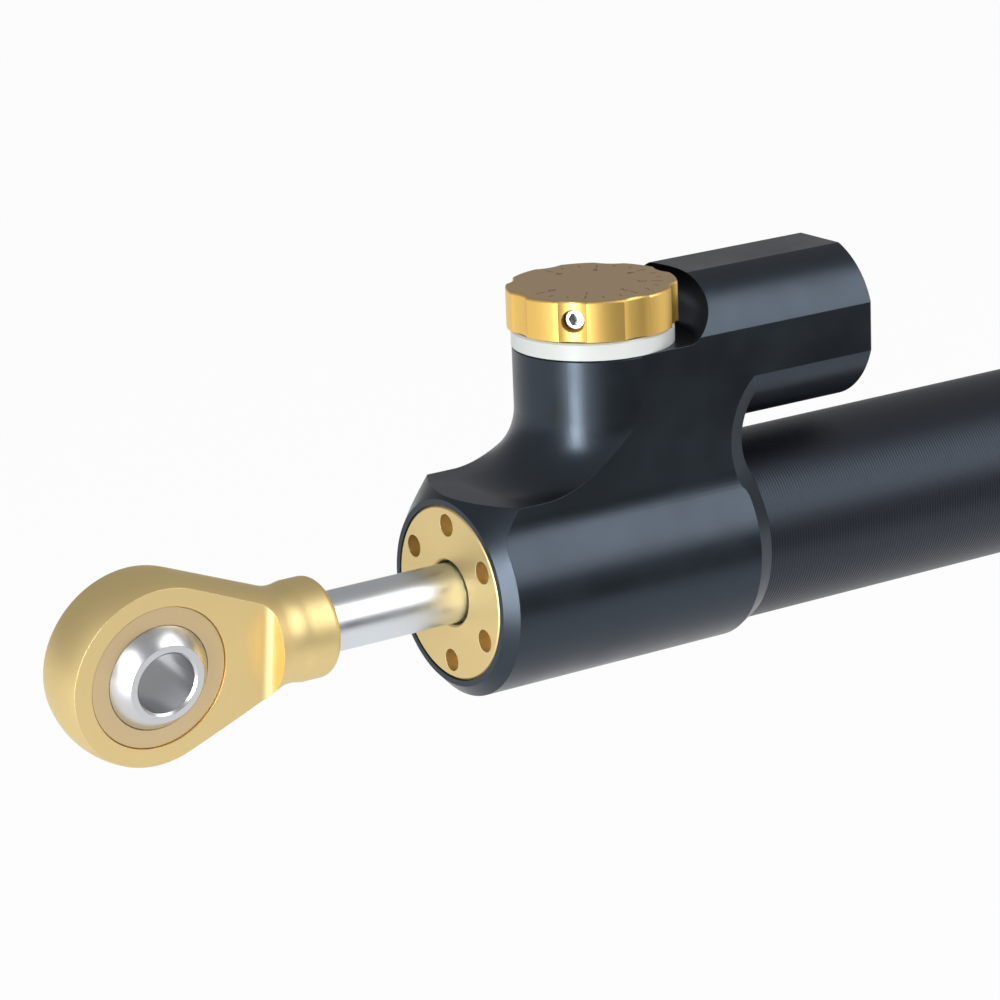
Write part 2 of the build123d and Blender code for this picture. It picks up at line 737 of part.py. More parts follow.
# Seal carrier: the rod seal's pocket in front, the guide bush's bore behind, the inner tube on its spigot
seal_pocket_rear = carrier_front + rod_seal_length + seat_clearance
bush_front = seal_pocket_rear + carrier_web
carrier_middle = (carrier_front + carrier_rear) / 2
cord_groove_half = small_cord_radius + groove_side_gap
with BuildPart() as seal_carrier:
    with BuildSketch(side_plane) as carrier_profile:
        with BuildLine():
            Polyline(
                (carrier_front, rod_seal_radius + seat_clearance),
                (carrier_front, carrier_radius),
                (carrier_middle - cord_groove_half, carrier_radius),
                (carrier_middle - cord_groove_half, carrier_radius - 2 * small_cord_radius - seat_clearance),
                (carrier_middle + cord_groove_half, carrier_radius - 2 * small_cord_radius - seat_clearance),
                (carrier_middle + cord_groove_half, carrier_radius),
                (carrier_rear, carrier_radius),
                (carrier_rear, inner_bore_radius - seat_clearance),
                (spigot_end, inner_bore_radius - seat_clearance),
                (spigot_end, guide_bush_radius + seat_clearance),
                (bush_front, guide_bush_radius + seat_clearance),
                (bush_front, rod_radius + carrier_web_gap),
                (seal_pocket_rear, rod_radius + carrier_web_gap),
                (seal_pocket_rear, rod_seal_radius + seat_clearance),
                close=True,
            )
        make_face()
    revolve(axis=Axis.X)
seal_carrier.part.label = "seal_carrier"
export_step(seal_carrier.part, "parts/seal_carrier.step")

# Guide bush that the rod runs in
with BuildPart() as guide_bush:
    with BuildSketch(cross_plane(bush_front)):
        Circle(guide_bush_radius)
        Circle(rod_fit_radius, mode=Mode.SUBTRACT)
    extrude(amount=spigot_end - bush_front)
guide_bush.part.label = "guide_bush"
export_step(guide_bush.part, "parts/guide_bush.step")

# Rod seal: a lipped cup that opens towards the oil
seal_rear = carrier_front + rod_seal_length
seal_middle_radius = (rod_seal_radius + rod_fit_radius) / 2
with BuildPart() as rod_seal:
    with BuildSketch(side_plane) as seal_profile:
        with BuildLine():
            Polyline(
                (carrier_front, rod_fit_radius),
                (carrier_front, rod_seal_radius),
                (seal_rear, rod_seal_radius),
                (seal_rear, rod_seal_radius - rod_seal_lip),
                (seal_rear - rod_seal_groove, seal_middle_radius),
                (seal_rear, rod_fit_radius + rod_seal_lip),
                (seal_rear, rod_fit_radius),
                close=True,
            )
        make_face()
    revolve(axis=Axis.X)
rod_seal.part.label = "rod_seal"
export_step(rod_seal.part, "parts/rod_seal.step")

# Rear seat: plugs the inner tube and centres it in the outer one
rear_seat_radius = tube_bore_radius - seat_clearance
rear_seat_middle = (inner_tube_rear + rear_seat_rear) / 2
with BuildPart() as rear_seat:
    with BuildSketch(side_plane) as seat_profile:
        with BuildLine():
            Polyline(
                (rear_spigot_front, 0),
                (rear_spigot_front, inner_bore_radius - seat_clearance),
                (inner_tube_rear, inner_bore_radius - seat_clearance),
                (inner_tube_rear, rear_seat_radius),
                (rear_seat_middle - cord_groove_half, rear_seat_radius),
                (rear_seat_middle - cord_groove_half, rear_seat_radius - 2 * small_cord_radius - seat_clearance),
                (rear_seat_middle + cord_groove_half, rear_seat_radius - 2 * small_cord_radius - seat_clearance),
                (rear_seat_middle + cord_groove_half, rear_seat_radius),
                (rear_seat_rear, rear_seat_radius),
                (rear_seat_rear, 0),
                close=True,
            )
        make_face()
    revolve(axis=Axis.X)
rear_seat.part.label = "rear_seat"
export_step(rear_seat.part, "parts/rear_seat.step")

# Rear cap, flush in the tube's end
with BuildPart() as rear_cap:
    with BuildSketch(cross_plane(rear_seat_rear)):
        Circle(rear_cap_radius)
    extrude(amount=rear_cap_length)
    chamfer(rear_cap.edges().group_by(Axis.X)[-1], cap_edge_chamfer)
    extrude(spanner_circle(tube_rear), amount=-spanner_hole_depth, mode=Mode.SUBTRACT)
rear_cap.part.label = "rear_cap"
export_step(rear_cap.part, "parts/rear_cap.step")

# Knob ring: the pale disc on the turret's top, pierced by the stop pin
with BuildPart() as knob_ring:
    with BuildSketch(turret_plane(turret_top)):
        Circle(ring_outer_radius)
        Circle(gland_collar_radius + seat_clearance, mode=Mode.SUBTRACT)
        with Locations((stop_pin_circle_radius, 0)):
            Circle(stop_pin_radius + seat_clearance, mode=Mode.SUBTRACT)
    extrude(amount=ring_thickness)
    chamfer(knob_ring.faces().sort_by(Axis.Z)[-1].outer_wire().edges(), ring_edge_chamfer)
knob_ring.part.label = "knob_ring"
export_step(knob_ring.part, "parts/knob_ring.step")

# Gland nut: closes the valve bore, seals the spindle and holds the click ball and its spring
spring_top = detent_ball_height - sqrt(
    (detent_ball_radius + detent_wire_radius) ** 2
    - (detent_ball_radius - detent_wire_radius) ** 2
)
spring_seat = spring_top - detent_spring_length - detent_wire_radius - seat_clearance
spindle_fit_radius = spindle_radius + running_clearance
gland_groove_height = (gland_floor_height + turret_top) / 2
detent_place = (
    detent_circle_radius * cos(radians(detent_angle)),
    detent_circle_radius * sin(radians(detent_angle)),
)
with BuildPart() as gland_nut:
    with BuildSketch(turret_side_plane) as gland_profile:
        with BuildLine():
            Polyline(
                (spindle_fit_radius, gland_floor_height),
                (gland_thread_radius, gland_floor_height),
                (gland_thread_radius, turret_top),
                (gland_collar_radius, turret_top),
                (gland_collar_radius, gland_top),
                (spindle_fit_radius, gland_top),
                (spindle_fit_radius, gland_groove_height + cord_groove_half),
                (spindle_fit_radius + 2 * small_cord_radius, gland_groove_height + cord_groove_half),
                (spindle_fit_radius + 2 * small_cord_radius, gland_groove_height - cord_groove_half),
                (spindle_fit_radius, gland_groove_height - cord_groove_half),
                close=True,
            )
        make_face()
    revolve(axis=turret_axis)
    with BuildSketch(turret_plane(gland_top)):
        with Locations(detent_place):
            Circle(detent_ball_radius + running_clearance)
    extrude(amount=spring_seat - gland_top, mode=Mode.SUBTRACT)
gland_nut.part.label = "gland_nut"
export_step(gland_nut.part, "parts/gland_nut.step")

# Click ball in the gland nut
with BuildPart(turret_plane(detent_ball_height)) as detent_ball:
    with Locations(detent_place):
        Sphere(detent_ball_radius)
detent_ball.part.label = "detent_ball"
export_step(detent_ball.part, "parts/detent_ball.step")

# Click spring under the ball, one unbroken coil
spring_centre = (turret_x + detent_place[0], detent_place[1], spring_top - detent_spring_length)
with BuildPart() as detent_spring:
    with BuildLine() as coil:
        Helix(
            pitch=detent_spring_length / detent_spring_turns,
            height=detent_spring_length,
            radius=detent_ball_radius - detent_wire_radius,
            center=spring_centre,
        )
    with BuildSketch(Plane(origin=coil.line @ 0, z_dir=coil.line % 0)):
        Circle(detent_wire_radius)
    sweep(is_frenet=True)
detent_spring.part.label = "detent_spring"
export_step(detent_spring.part, "parts/detent_spring.step")

# Stop pin in the turret's top
with BuildPart() as stop_pin:
    with BuildSketch(turret_plane(turret_top - stop_pin_depth)):
        with Locations((stop_pin_circle_radius, 0)):
            Circle(stop_pin_radius)
    extrude(amount=stop_pin_depth + knob_bottom - turret_top + stop_pin_rise)
stop_pin.part.label = "stop_pin"
export_step(stop_pin.part, "parts/stop_pin.step")

# Valve sleeve, with a port on its rear side that opens into a groove round it
sleeve_floor_top = valve_floor_height + sleeve_floor
with BuildPart() as valve_sleeve:
    with BuildSketch(turret_side_plane) as sleeve_profile:
        with BuildLine():
            Polyline(
                (port_drill_radius, valve_floor_height),
                (valve_bore_radius, valve_floor_height),
                (valve_bore_radius, valve_port_height - valve_groove_height / 2),
                (valve_bore_radius - valve_groove_depth, valve_port_height - valve_groove_height / 2),
                (valve_bore_radius - valve_groove_depth, valve_port_height + valve_groove_height / 2),
                (valve_bore_radius, valve_port_height + valve_groove_height / 2),
                (valve_bore_radius, gland_floor_height),
                (sleeve_bore_radius, gland_floor_height),
                (sleeve_bore_radius, sleeve_floor_top),
                (port_drill_radius, sleeve_floor_top),
                close=True,
            )
        make_face()
    revolve(axis=turret_axis)
    with BuildSketch(Plane(origin=(turret_x, 0, valve_port_height), x_dir=(0, 1, 0), z_dir=(1, 0, 0))):
        Circle(valve_port_radius)
    extrude(amount=valve_bore_radius, mode=Mode.SUBTRACT)
valve_sleeve.part.label = "valve_sleeve"
export_step(valve_sleeve.part, "parts/valve_sleeve.step")

# Metering spindle: a hollow drum with a row of growing holes, on the shaft that the knob turns
grub_height = knob_bottom + knob_height * grub_height_share
grub_direction = (cos(radians(grub_angle)), sin(radians(grub_angle)), 0)
grub_seat_radius = spindle_radius - spindle_flat_depth
grub_seat_plane = Plane(
    origin=(
        turret_x + grub_seat_radius * grub_direction[0],
        grub_seat_radius * grub_direction[1],
        grub_height,
    ),
    x_dir=(0, 0, 1),
    z_dir=grub_direction,
)
drum_hole_step = 2 * knob_half_travel / (drum_hole_count - 1)
with BuildPart() as metering_spindle:
    with BuildSketch(turret_side_plane) as drum_profile:
        with BuildLine():
            Polyline(
                (drum_bore_radius, sleeve_floor_top + running_clearance),
                (drum_radius, sleeve_floor_top + running_clearance),
                (drum_radius, drum_top),
                (spindle_radius, drum_top),
                (spindle_radius, spindle_top),
                (0, spindle_top),
                (0, drum_top - drum_crown),
                (drum_bore_radius, drum_top - drum_crown),
                close=True,
            )
        make_face()
    revolve(axis=turret_axis)
    for index in range(drum_hole_count):
        turn = radians(index * drum_hole_step - knob_half_travel)
        outward = Plane(
            origin=(turret_x, 0, valve_port_height), x_dir=(0, 0, 1), z_dir=(cos(turn), sin(turn), 0)
        )
        with BuildSketch(outward):
            Circle(drum_hole_radius * drum_hole_growth_share**index)
        extrude(amount=drum_radius + overrun, mode=Mode.SUBTRACT)
    with BuildSketch(grub_seat_plane):
        Circle(grub_radius + seat_clearance)
    extrude(amount=spindle_radius, mode=Mode.SUBTRACT)
metering_spindle.part.label = "metering_spindle"
export_step(metering_spindle.part, "parts/metering_spindle.step")

# Adjuster knob: fluted rim, blind shaft bore, stop groove and click pockets underneath
flute_half = flute_width / 2
flute_sagitta = flute_depth - (knob_radius - sqrt(knob_radius**2 - flute_half**2))
flute_radius = (flute_half**2 + flute_sagitta**2) / (2 * flute_sagitta)
click_count = round(360 / detent_click_angle)
stop_groove_half = stop_pin_radius + running_clearance
with BuildPart() as adjuster_knob:
    with BuildSketch(turret_plane(knob_bottom)) as knob_outline:
        Circle(knob_radius)
        with PolarLocations(knob_radius - flute_depth + flute_radius, flute_count):
            Circle(flute_radius, mode=Mode.SUBTRACT)
    extrude(amount=knob_height)
    fillet(adjuster_knob.faces().sort_by(Axis.Z)[-1].outer_wire().edges(), knob_edge_rounding)
    with BuildSketch(turret_plane(knob_bottom)) as shaft_bore:
        Circle(spindle_radius + seat_clearance)
    extrude(amount=spindle_top - knob_bottom + seat_clearance, mode=Mode.SUBTRACT)
    with BuildSketch(turret_plane(knob_bottom)) as stop_groove:
        with BuildLine():
            outer = CenterArc(
                (0, 0), stop_pin_circle_radius + stop_groove_half, -knob_half_travel, 2 * knob_half_travel
            )
            inner = CenterArc(
                (0, 0), stop_pin_circle_radius - stop_groove_half, -knob_half_travel, 2 * knob_half_travel
            )
            Line(outer @ 1, inner @ 1)
            Line(outer @ 0, inner @ 0)
        make_face()
        for groove_end in ((outer @ 0 + inner @ 0) / 2, (outer @ 1 + inner @ 1) / 2):
            with Locations(groove_end):
                Circle(stop_groove_half)
    extrude(amount=stop_groove_depth, mode=Mode.SUBTRACT)
    with BuildSketch(turret_side_plane) as click_groove:
        with Locations((detent_circle_radius, detent_ball_height)):
            Circle(detent_ball_radius + running_clearance)
    revolve(axis=turret_axis, mode=Mode.SUBTRACT)
    with Locations(turret_plane(detent_ball_height + detent_pocket_depth)):
        with PolarLocations(detent_circle_radius, click_count):
            Sphere(detent_ball_radius + running_clearance, mode=Mode.SUBTRACT)
    with BuildSketch(grub_seat_plane) as grub_hole:
        Circle(grub_radius + seat_clearance)
    extrude(amount=knob_radius, mode=Mode.SUBTRACT)
adjuster_knob.part.label = "adjuster_knob"
export_step(adjuster_knob.part, "parts/adjuster_knob.step")

# Grub screw that clamps the knob to the spindle
grub_length = knob_radius - flute_depth - grub_recess - grub_seat_radius
with BuildPart() as knob_grub_screw:
    with BuildSketch(grub_seat_plane.offset(seat_clearance)):
        Circle(grub_radius)
    extrude(amount=grub_length)
    with BuildSketch(grub_seat_plane.offset(seat_clearance + grub_length)):
        RegularPolygon(grub_socket_width / 2, 6, major_radius=False)
    extrude(amount=-grub_socket_depth, mode=Mode.SUBTRACT)
knob_grub_screw.part.label = "knob_grub_screw"
export_step(knob_grub_screw.part, "parts/knob_grub_screw.step")

# Floating piston between the oil and the gas
floating_rear = plug_front - end_clearance
floating_front = floating_rear - floating_piston_length
floating_radius = reservoir_bore_radius - running_clearance
floating_middle = (floating_front + floating_rear) / 2
big_groove_half = large_cord_radius + groove_side_gap
with BuildPart() as floating_piston:
    with BuildSketch(reservoir_plane(floating_front)):
        Circle(floating_radius)
    extrude(amount=floating_piston_length)
    with BuildSketch(reservoir_plane(floating_middle)):
        Circle(floating_radius + overrun)
        Circle(floating_radius - 2 * large_cord_radius - seat_clearance, mode=Mode.SUBTRACT)
    extrude(amount=big_groove_half, both=True, mode=Mode.SUBTRACT)
    with BuildSketch(reservoir_plane(floating_rear)):
        Circle(floating_skirt_radius)
    extrude(amount=-floating_skirt_depth, mode=Mode.SUBTRACT)
floating_piston.part.label = "floating_piston"
export_step(floating_piston.part, "parts/floating_piston.step")

# End plug of the reservoir, with the gas screw's threaded hole
plug_radius = reservoir_bore_radius - seat_clearance
plug_middle = (plug_front + plug_rear) / 2
with BuildPart() as end_plug:
    with BuildSketch(reservoir_plane(plug_front)):
        Circle(plug_radius)
        Circle(gas_screw_radius + seat_clearance, mode=Mode.SUBTRACT)
    extrude(amount=end_plug_length)
    with BuildSketch(reservoir_plane(plug_middle)):
        Circle(plug_radius + overrun)
        Circle(plug_radius - 2 * large_cord_radius - seat_clearance, mode=Mode.SUBTRACT)
    extrude(amount=big_groove_half, both=True, mode=Mode.SUBTRACT)
    with BuildSketch(reservoir_plane(plug_rear)):
        Circle(gas_screw_head_radius + seat_clearance)
    extrude(amount=-gas_screw_sink, mode=Mode.SUBTRACT)
end_plug.part.label = "end_plug"
export_step(end_plug.part, "parts/end_plug.step")

# Gas screw that seals the reservoir's charge
with BuildPart() as gas_screw:
    with BuildSketch(reservoir_plane(plug_front)):
        Circle(gas_screw_radius)
    extrude(amount=end_plug_length - gas_screw_sink)
    with BuildSketch(reservoir_plane(plug_rear - gas_screw_sink)):
        Circle(gas_screw_head_radius)
    extrude(amount=gas_screw_head_height)
    head_top = plug_rear - gas_screw_sink + gas_screw_head_height
    chamfer(gas_screw.edges().group_by(Axis.X)[-1], reservoir_edge_chamfer)
    with BuildSketch(reservoir_plane(head_top)):
        RegularPolygon(gas_socket_width / 2, 6, major_radius=False)
    extrude(amount=-gas_socket_depth, mode=Mode.SUBTRACT)
gas_screw.part.label = "gas_screw"
export_step(gas_screw.part, "parts/gas_screw.step")

# Circlip behind the plug, its gap and eared ends at the top
circlip_outer = reservoir_bore_radius + circlip_depth - seat_clearance
circlip_inner = circlip_outer - circlip_width
ear_place_radius = circlip_inner + circlip_ear_radius / 2
ear_turn = circlip_gap_angle / 2
with BuildPart() as circlip:
    with BuildSketch(reservoir_plane(plug_rear + seat_clearance)):
        Circle(circlip_outer)
        Circle(circlip_inner, mode=Mode.SUBTRACT)
        with BuildLine(mode=Mode.PRIVATE) as gap_lines:
            Polyline(
                (0, 0),
                (-2 * circlip_outer * sin(radians(ear_turn)), 2 * circlip_outer * cos(radians(ear_turn))),
                (2 * circlip_outer * sin(radians(ear_turn)), 2 * circlip_outer * cos(radians(ear_turn))),
                close=True,
            )
        make_face(gap_lines.edges(), mode=Mode.SUBTRACT)
        for turn in (90 - ear_turn, 90 + ear_turn):
            ear = (ear_place_radius * cos(radians(turn)), ear_place_radius * sin(radians(turn)))
            with Locations(ear):
                Circle(circlip_ear_radius)
                Circle(circlip_ear_hole_radius, mode=Mode.SUBTRACT)
    extrude(amount=circlip_thickness - 2 * seat_clearance)
circlip.part.label = "circlip"
export_step(circlip.part, "parts/circlip.step")

# O-rings, each named with its middle, its axis direction, its ring radius and its cord radius
o_rings = {
    "carrier_o_ring": (cross_plane(carrier_middle), carrier_radius - small_cord_radius, small_cord_radius),
    "land_o_ring": (
        cross_plane(land_middle),
        inner_outer_radius + seat_clearance + small_cord_radius,
        small_cord_radius,
    ),
    "rear_seat_o_ring": (
        cross_plane(rear_seat_middle),
        rear_seat_radius - small_cord_radius,
        small_cord_radius,
    ),
    "spindle_o_ring": (
        turret_plane(gland_groove_height),
        spindle_fit_radius + small_cord_radius - seat_clearance / 2,
        small_cord_radius - seat_clearance / 2,
    ),
    "floating_o_ring": (
        reservoir_plane(floating_middle),
        floating_radius - large_cord_radius,
        large_cord_radius,
    ),
    "end_plug_o_ring": (
        reservoir_plane(plug_middle),
        plug_radius - large_cord_radius,
        large_cord_radius,
    ),
}
for ring_name, (ring_plane, ring_radius, cord_radius) in o_rings.items():
    with BuildPart(ring_plane) as o_ring:
        Torus(ring_radius, cord_radius)
    o_ring.part.label = ring_name
    export_step(o_ring.part, f"parts/{ring_name}.step")
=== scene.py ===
from math import acos, asin, atan2, cos, degrees, pi, radians, sin

import bmesh
import bpy
from mathutils import Matrix, Vector


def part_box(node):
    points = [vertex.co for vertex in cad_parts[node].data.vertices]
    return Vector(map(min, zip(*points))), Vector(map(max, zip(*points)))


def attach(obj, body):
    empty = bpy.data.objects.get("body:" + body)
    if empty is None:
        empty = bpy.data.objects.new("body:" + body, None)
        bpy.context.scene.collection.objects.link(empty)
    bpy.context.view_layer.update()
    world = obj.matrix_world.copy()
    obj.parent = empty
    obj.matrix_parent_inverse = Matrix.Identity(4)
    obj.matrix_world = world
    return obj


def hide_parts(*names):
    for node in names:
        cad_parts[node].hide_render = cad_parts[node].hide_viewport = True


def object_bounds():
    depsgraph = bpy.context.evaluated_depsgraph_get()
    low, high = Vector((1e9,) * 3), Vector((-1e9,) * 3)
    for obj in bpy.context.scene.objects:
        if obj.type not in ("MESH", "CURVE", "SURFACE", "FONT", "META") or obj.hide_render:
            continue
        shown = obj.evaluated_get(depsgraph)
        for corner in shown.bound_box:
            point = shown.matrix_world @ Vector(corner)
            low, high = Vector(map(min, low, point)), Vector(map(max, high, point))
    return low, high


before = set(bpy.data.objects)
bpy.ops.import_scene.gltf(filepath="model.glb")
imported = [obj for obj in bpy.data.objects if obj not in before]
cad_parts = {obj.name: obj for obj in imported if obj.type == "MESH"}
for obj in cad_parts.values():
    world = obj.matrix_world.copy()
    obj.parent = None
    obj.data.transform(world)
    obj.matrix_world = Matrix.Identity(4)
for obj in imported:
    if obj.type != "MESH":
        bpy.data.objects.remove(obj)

# Steering damper: its finishes, forms with the photograph's finer lines, and a pale studio round them.
# Metres. +X runs from the eye along the rod and the tube, +Z points up to the knob.

cad_low, cad_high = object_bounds()
scene = bpy.context.scene
millimetre = 0.001

# Places read from the frame: the first in metres, the others in millimetres, as the forms are drawn
knob_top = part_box("adjuster_knob")[1].z
rod_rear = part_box("piston_rod")[1].x / millimetre
piston_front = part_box("piston")[0].x / millimetre
tube_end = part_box("outer_tube")[1].x / millimetre


def colour(code):
    """An sRGB hex colour as the linear RGBA that Blender takes."""
    parts = [int(code[start : start + 2], 16) / 255 for start in (1, 3, 5)]
    return (*(p / 12.92 if p <= 0.04045 else ((p + 0.055) / 1.055) ** 2.4 for p in parts), 1)


def add_node(tree, kind, values=(), links=(), **settings):
    """Adds a node with its settings, its constant inputs and the sockets that feed it."""
    node = tree.nodes.new(kind)
    for name, value in settings.items():
        setattr(node, name, value)
    for name, value in dict(values).items():
        node.inputs[name].default_value = value
    for name, source in dict(links).items():
        tree.links.new(source, node.inputs[name])
    return node


def new_material(name, code, metallic, roughness):
    """A material of one colour, metallic share and roughness: itself, its node tree and its shader."""
    material = bpy.data.materials.new(name)
    material.use_nodes = True
    shader = material.node_tree.nodes["Principled BSDF"]
    shader.inputs["Base Color"].default_value = colour(code)
    shader.inputs["Metallic"].default_value = metallic
    shader.inputs["Roughness"].default_value = roughness
    return material, material.node_tree, shader


def wandering_gloss(tree, shader, place, patch, detail, low, high):
    """Roughness that wanders between low and high, in patches of about the given size."""
    cloud = add_node(tree, "ShaderNodeTexNoise", {"Scale": 1 / patch, "Detail": detail}, {"Vector": place})
    gloss = add_node(
        tree,
        "ShaderNodeMapRange",
        {"From Min": 0.3, "From Max": 0.7, "To Min": low, "To Max": high},
        {"Value": cloud.outputs[0]},
    )
    tree.links.new(gloss.outputs[0], shader.inputs["Roughness"])


def cutter_marks(tree, position, pitch):
    """Tool marks: an uneven one-way pattern that repeats about every pitch of position."""
    steps = add_node(tree, "ShaderNodeMath", {1: 1 / pitch}, {0: position}, operation="MULTIPLY")
    marks = add_node(
        tree,
        "ShaderNodeTexNoise",
        {"Scale": 1.0, "Detail": 2.0, "Roughness": 0.6},
        {"W": steps.outputs[0]},
        noise_dimensions="1D",
    )
    return marks.outputs[0]


def rounded_bump(tree, shader, height, depth):
    """A bump of the given depth on a surface whose edges look slightly rounded."""
    edge_radius = 0.12 * millimetre
    edges = add_node(tree, "ShaderNodeBevel", {"Radius": edge_radius}, samples=6)
    bump = add_node(
        tree,
        "ShaderNodeBump",
        {"Strength": 1.0, "Distance": depth},
        {"Height": height, "Normal": edges.outputs[0]},
    )
    tree.links.new(bump.outputs[0], shader.inputs["Normal"])


def milled_black_anodising():
    """Black hard-anodised aluminium, milled: near-black, with a blue-grey sheen that wanders a little."""
    material, tree, shader = new_material("black hard-anodised aluminium, milled", "#3A4149", 0.9, 0.33)
    place = add_node(tree, "ShaderNodeTexCoord").outputs["Object"]
    axes = add_node(tree, "ShaderNodeSeparateXYZ", links={0: place}).outputs
    wandering_gloss(tree, shader, place, 8 * millimetre, 4.0, 0.29, 0.38)
    # Upright marks of the cutter, drawn as coarse as they need to show
    mark_pitch, mark_depth = 0.25 * millimetre, 0.005 * millimetre
    rounded_bump(tree, shader, cutter_marks(tree, axes["X"], mark_pitch), mark_depth)
    return material


def turned_black_anodising():
    """Black anodised aluminium, turned: close tool rings that the light catches as fine lines."""
    material, tree, shader = new_material("black anodised aluminium, turned", "#353A42", 0.9, 0.4)
    place = add_node(tree, "ShaderNodeTexCoord").outputs["Object"]
    # The rings are drawn as coarse as they need to show, and a wave of scale 1 is 2 pi / 20 long
    ring_pitch, ring_depth = 0.45 * millimetre, 0.03 * millimetre
    wave_length = 2 * pi / 20
    rings = add_node(
        tree,
        "ShaderNodeTexWave",
        {"Scale": wave_length / ring_pitch, "Distortion": 0.0},
        {"Vector": place},
        bands_direction="X",
    )
    rounded_bump(tree, shader, rings.outputs[1], ring_depth)
    return material


def satin_gold_anodising(name, code, roughness):
    """Gold anodised aluminium, blasted before it was dyed: an even satin metal with soft highlights."""
    material, tree, shader = new_material(name, code, 1.0, roughness)
    place = add_node(tree, "ShaderNodeTexCoord").outputs["Object"]
    grit, grit_depth = 0.12 * millimetre, 0.002 * millimetre
    grain = add_node(tree, "ShaderNodeTexNoise", {"Scale": 1 / grit, "Detail": 2.0}, {"Vector": place})
    rounded_bump(tree, shader, grain.outputs[0], grit_depth)
    return material


def knob_gold_anodising():
    """The knob's gold: a deep satin rim, and a turned top painted browner and darker, partly its own turned
    tone and partly painted shade for the dim reflections that the top takes.
    """
    # The top's colour is partly painted shade: darker and browner for the dim reflections on the knob's top
    rim_colour, shaded_top_colour = "#F4CB72", "#CBAE84"
    material = satin_gold_anodising("deep gold anodised aluminium, satin", rim_colour, 0.42)
    tree = material.node_tree
    place = add_node(tree, "ShaderNodeTexCoord").outputs["Object"]
    axes = add_node(tree, "ShaderNodeSeparateXYZ", links={0: place}).outputs
    # Painted shade: this mask gives the top face and its edge the darker, browner colour
    shaded_top_mask = add_node(
        tree,
        "ShaderNodeMapRange",
        {"From Min": knob_top - 0.25 * millimetre, "From Max": knob_top - 0.05 * millimetre},
        {"Value": axes["Z"]},
    )
    shaded_top_mix = add_node(
        tree,
        "ShaderNodeMix",
        {"A": colour(rim_colour), "B": colour(shaded_top_colour)},
        {"Factor": shaded_top_mask.outputs[0]},
        data_type="RGBA",
    )
    tree.links.new(shaded_top_mix.outputs["Result"], tree.nodes["Principled BSDF"].inputs["Base Color"])
    return material


def machined_finish(name, code, metallic, roughness, along="X"):
    """A turned, ground or moulded surface: its gloss wanders a little, and fine marks run round its axis."""
    material, tree, shader = new_material(name, code, metallic, roughness)
    place = add_node(tree, "ShaderNodeTexCoord").outputs["Object"]
    axes = add_node(tree, "ShaderNodeSeparateXYZ", links={0: place}).outputs
    wander = 0.12
    low, high = roughness * (1 - wander), roughness * (1 + wander)
    wandering_gloss(tree, shader, place, 6 * millimetre, 3.0, low, high)
    mark_pitch, mark_depth = 0.2 * millimetre, 0.001 * millimetre
    rounded_bump(tree, shader, cutter_marks(tree, axes[along], mark_pitch), mark_depth)
    return material


black_milled = milled_black_anodising()
black_turned = turned_black_anodising()
# Pale gold, blasted matt: broad soft highlights on the eye and the caps
gold_eye = satin_gold_anodising("gold anodised aluminium, satin", "#E6CF95", 0.5)
gold_knob = knob_gold_anodising()
# Bearing bronze, turned and worn in: a dull brown-gold ring
bronze = machined_finish("turned bronze", "#D8C096", 1.0, 0.42)
# Hardened bearing steel, ground and polished, then handled: bright, with blurred reflections
polished_steel = machined_finish("polished bearing steel", "#CFD0D3", 1.0, 0.3)
# Hard chrome on steel, ground and polished: a bright rod with one soft streak
chrome = machined_finish("hard chrome, ground and polished", "#DADFE4", 1.0, 0.36)
# Natural nylon, turned: a pale matt ring without any metal's shine
nylon = machined_finish("natural nylon, turned", "#C6CBC9", 0.0, 0.4, along="Z")
# Zinc-plated steel: small bright grey screws
zinc_steel = machined_finish("zinc-plated steel", "#B4B6BA", 1.0, 0.3)
# Oiled spring steel: dark, with a thin shine
spring_steel = machined_finish("oiled spring steel", "#4A4B4E", 1.0, 0.35)
# Plain aluminium, turned: pale grey inner pieces
aluminium = machined_finish("turned aluminium", "#C8CACC", 1.0, 0.3)
# Bearing plastic filled with bronze, machined: matt brown
ptfe = machined_finish("bronze-filled PTFE", "#6B5B4C", 0.0, 0.5)
# Nitrile rubber, moulded: matt black seals
rubber = machined_finish("black nitrile rubber", "#101011", 0.0, 0.55)
# Gold anodising burnt away by a laser: dull brown strokes
engraving = machined_finish("laser-engraved gold anodising", "#6E5C48", 0.6, 0.6)

finishes = {
    black_milled: ("head_block",),
    black_turned: ("outer_tube", "end_plug"),
    gold_eye: ("rod_end_body", "front_cap", "rear_cap"),
    gold_knob: ("adjuster_knob",),
    bronze: ("bearing_race", "valve_sleeve"),
    polished_steel: ("bearing_ball", "detent_ball"),
    chrome: ("piston_rod",),
    nylon: ("knob_ring",),
    zinc_steel: ("knob_grub_screw", "gas_screw", "piston_nut", "stop_pin", "metering_spindle"),
    spring_steel: ("detent_spring", "circlip"),
    aluminium: ("seal_carrier", "rear_seat", "floating_piston", "piston", "gland_nut", "inner_tube"),
    ptfe: ("guide_bush", "piston_ring"),
    rubber: ("wiper", "rod_seal", "carrier_o_ring", "land_o_ring", "rear_seat_o_ring")
    + ("spindle_o_ring", "floating_o_ring", "end_plug_o_ring"),
}
for material, node_names in finishes.items():
    for node_name in node_names:
        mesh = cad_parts[node_name].data
        mesh.materials.clear()
        mesh.materials.append(material)


# Forms, in millimetres until they are finished: each stands for a node whose main shape it shares
def arc(middle, radius, start, end, steps=16):
    """Points along an arc about middle, from the angle start to the angle end in degrees."""
    turns = [radians(start + (end - start) * step / steps) for step in range(steps + 1)]
    return [(middle[0] + radius * cos(turn), middle[1] + radius * sin(turn)) for turn in turns]


def stepped(start, *steps):
    """The outline of a stepped bore or shaft from start: each step is its radius and where it ends."""
    outline = [(start, 0)]
    for radius, end in steps:
        outline += [(start, radius), (end, radius)]
        start = end
    return outline + [(start, 0)]


def along_axis(axis, length, first, second):
    """A point from its length along an axis and its other two coordinates, in order."""
    points = {"X": (length, first, second), "Y": (first, length, second), "Z": (first, second, length)}
    return points[axis]


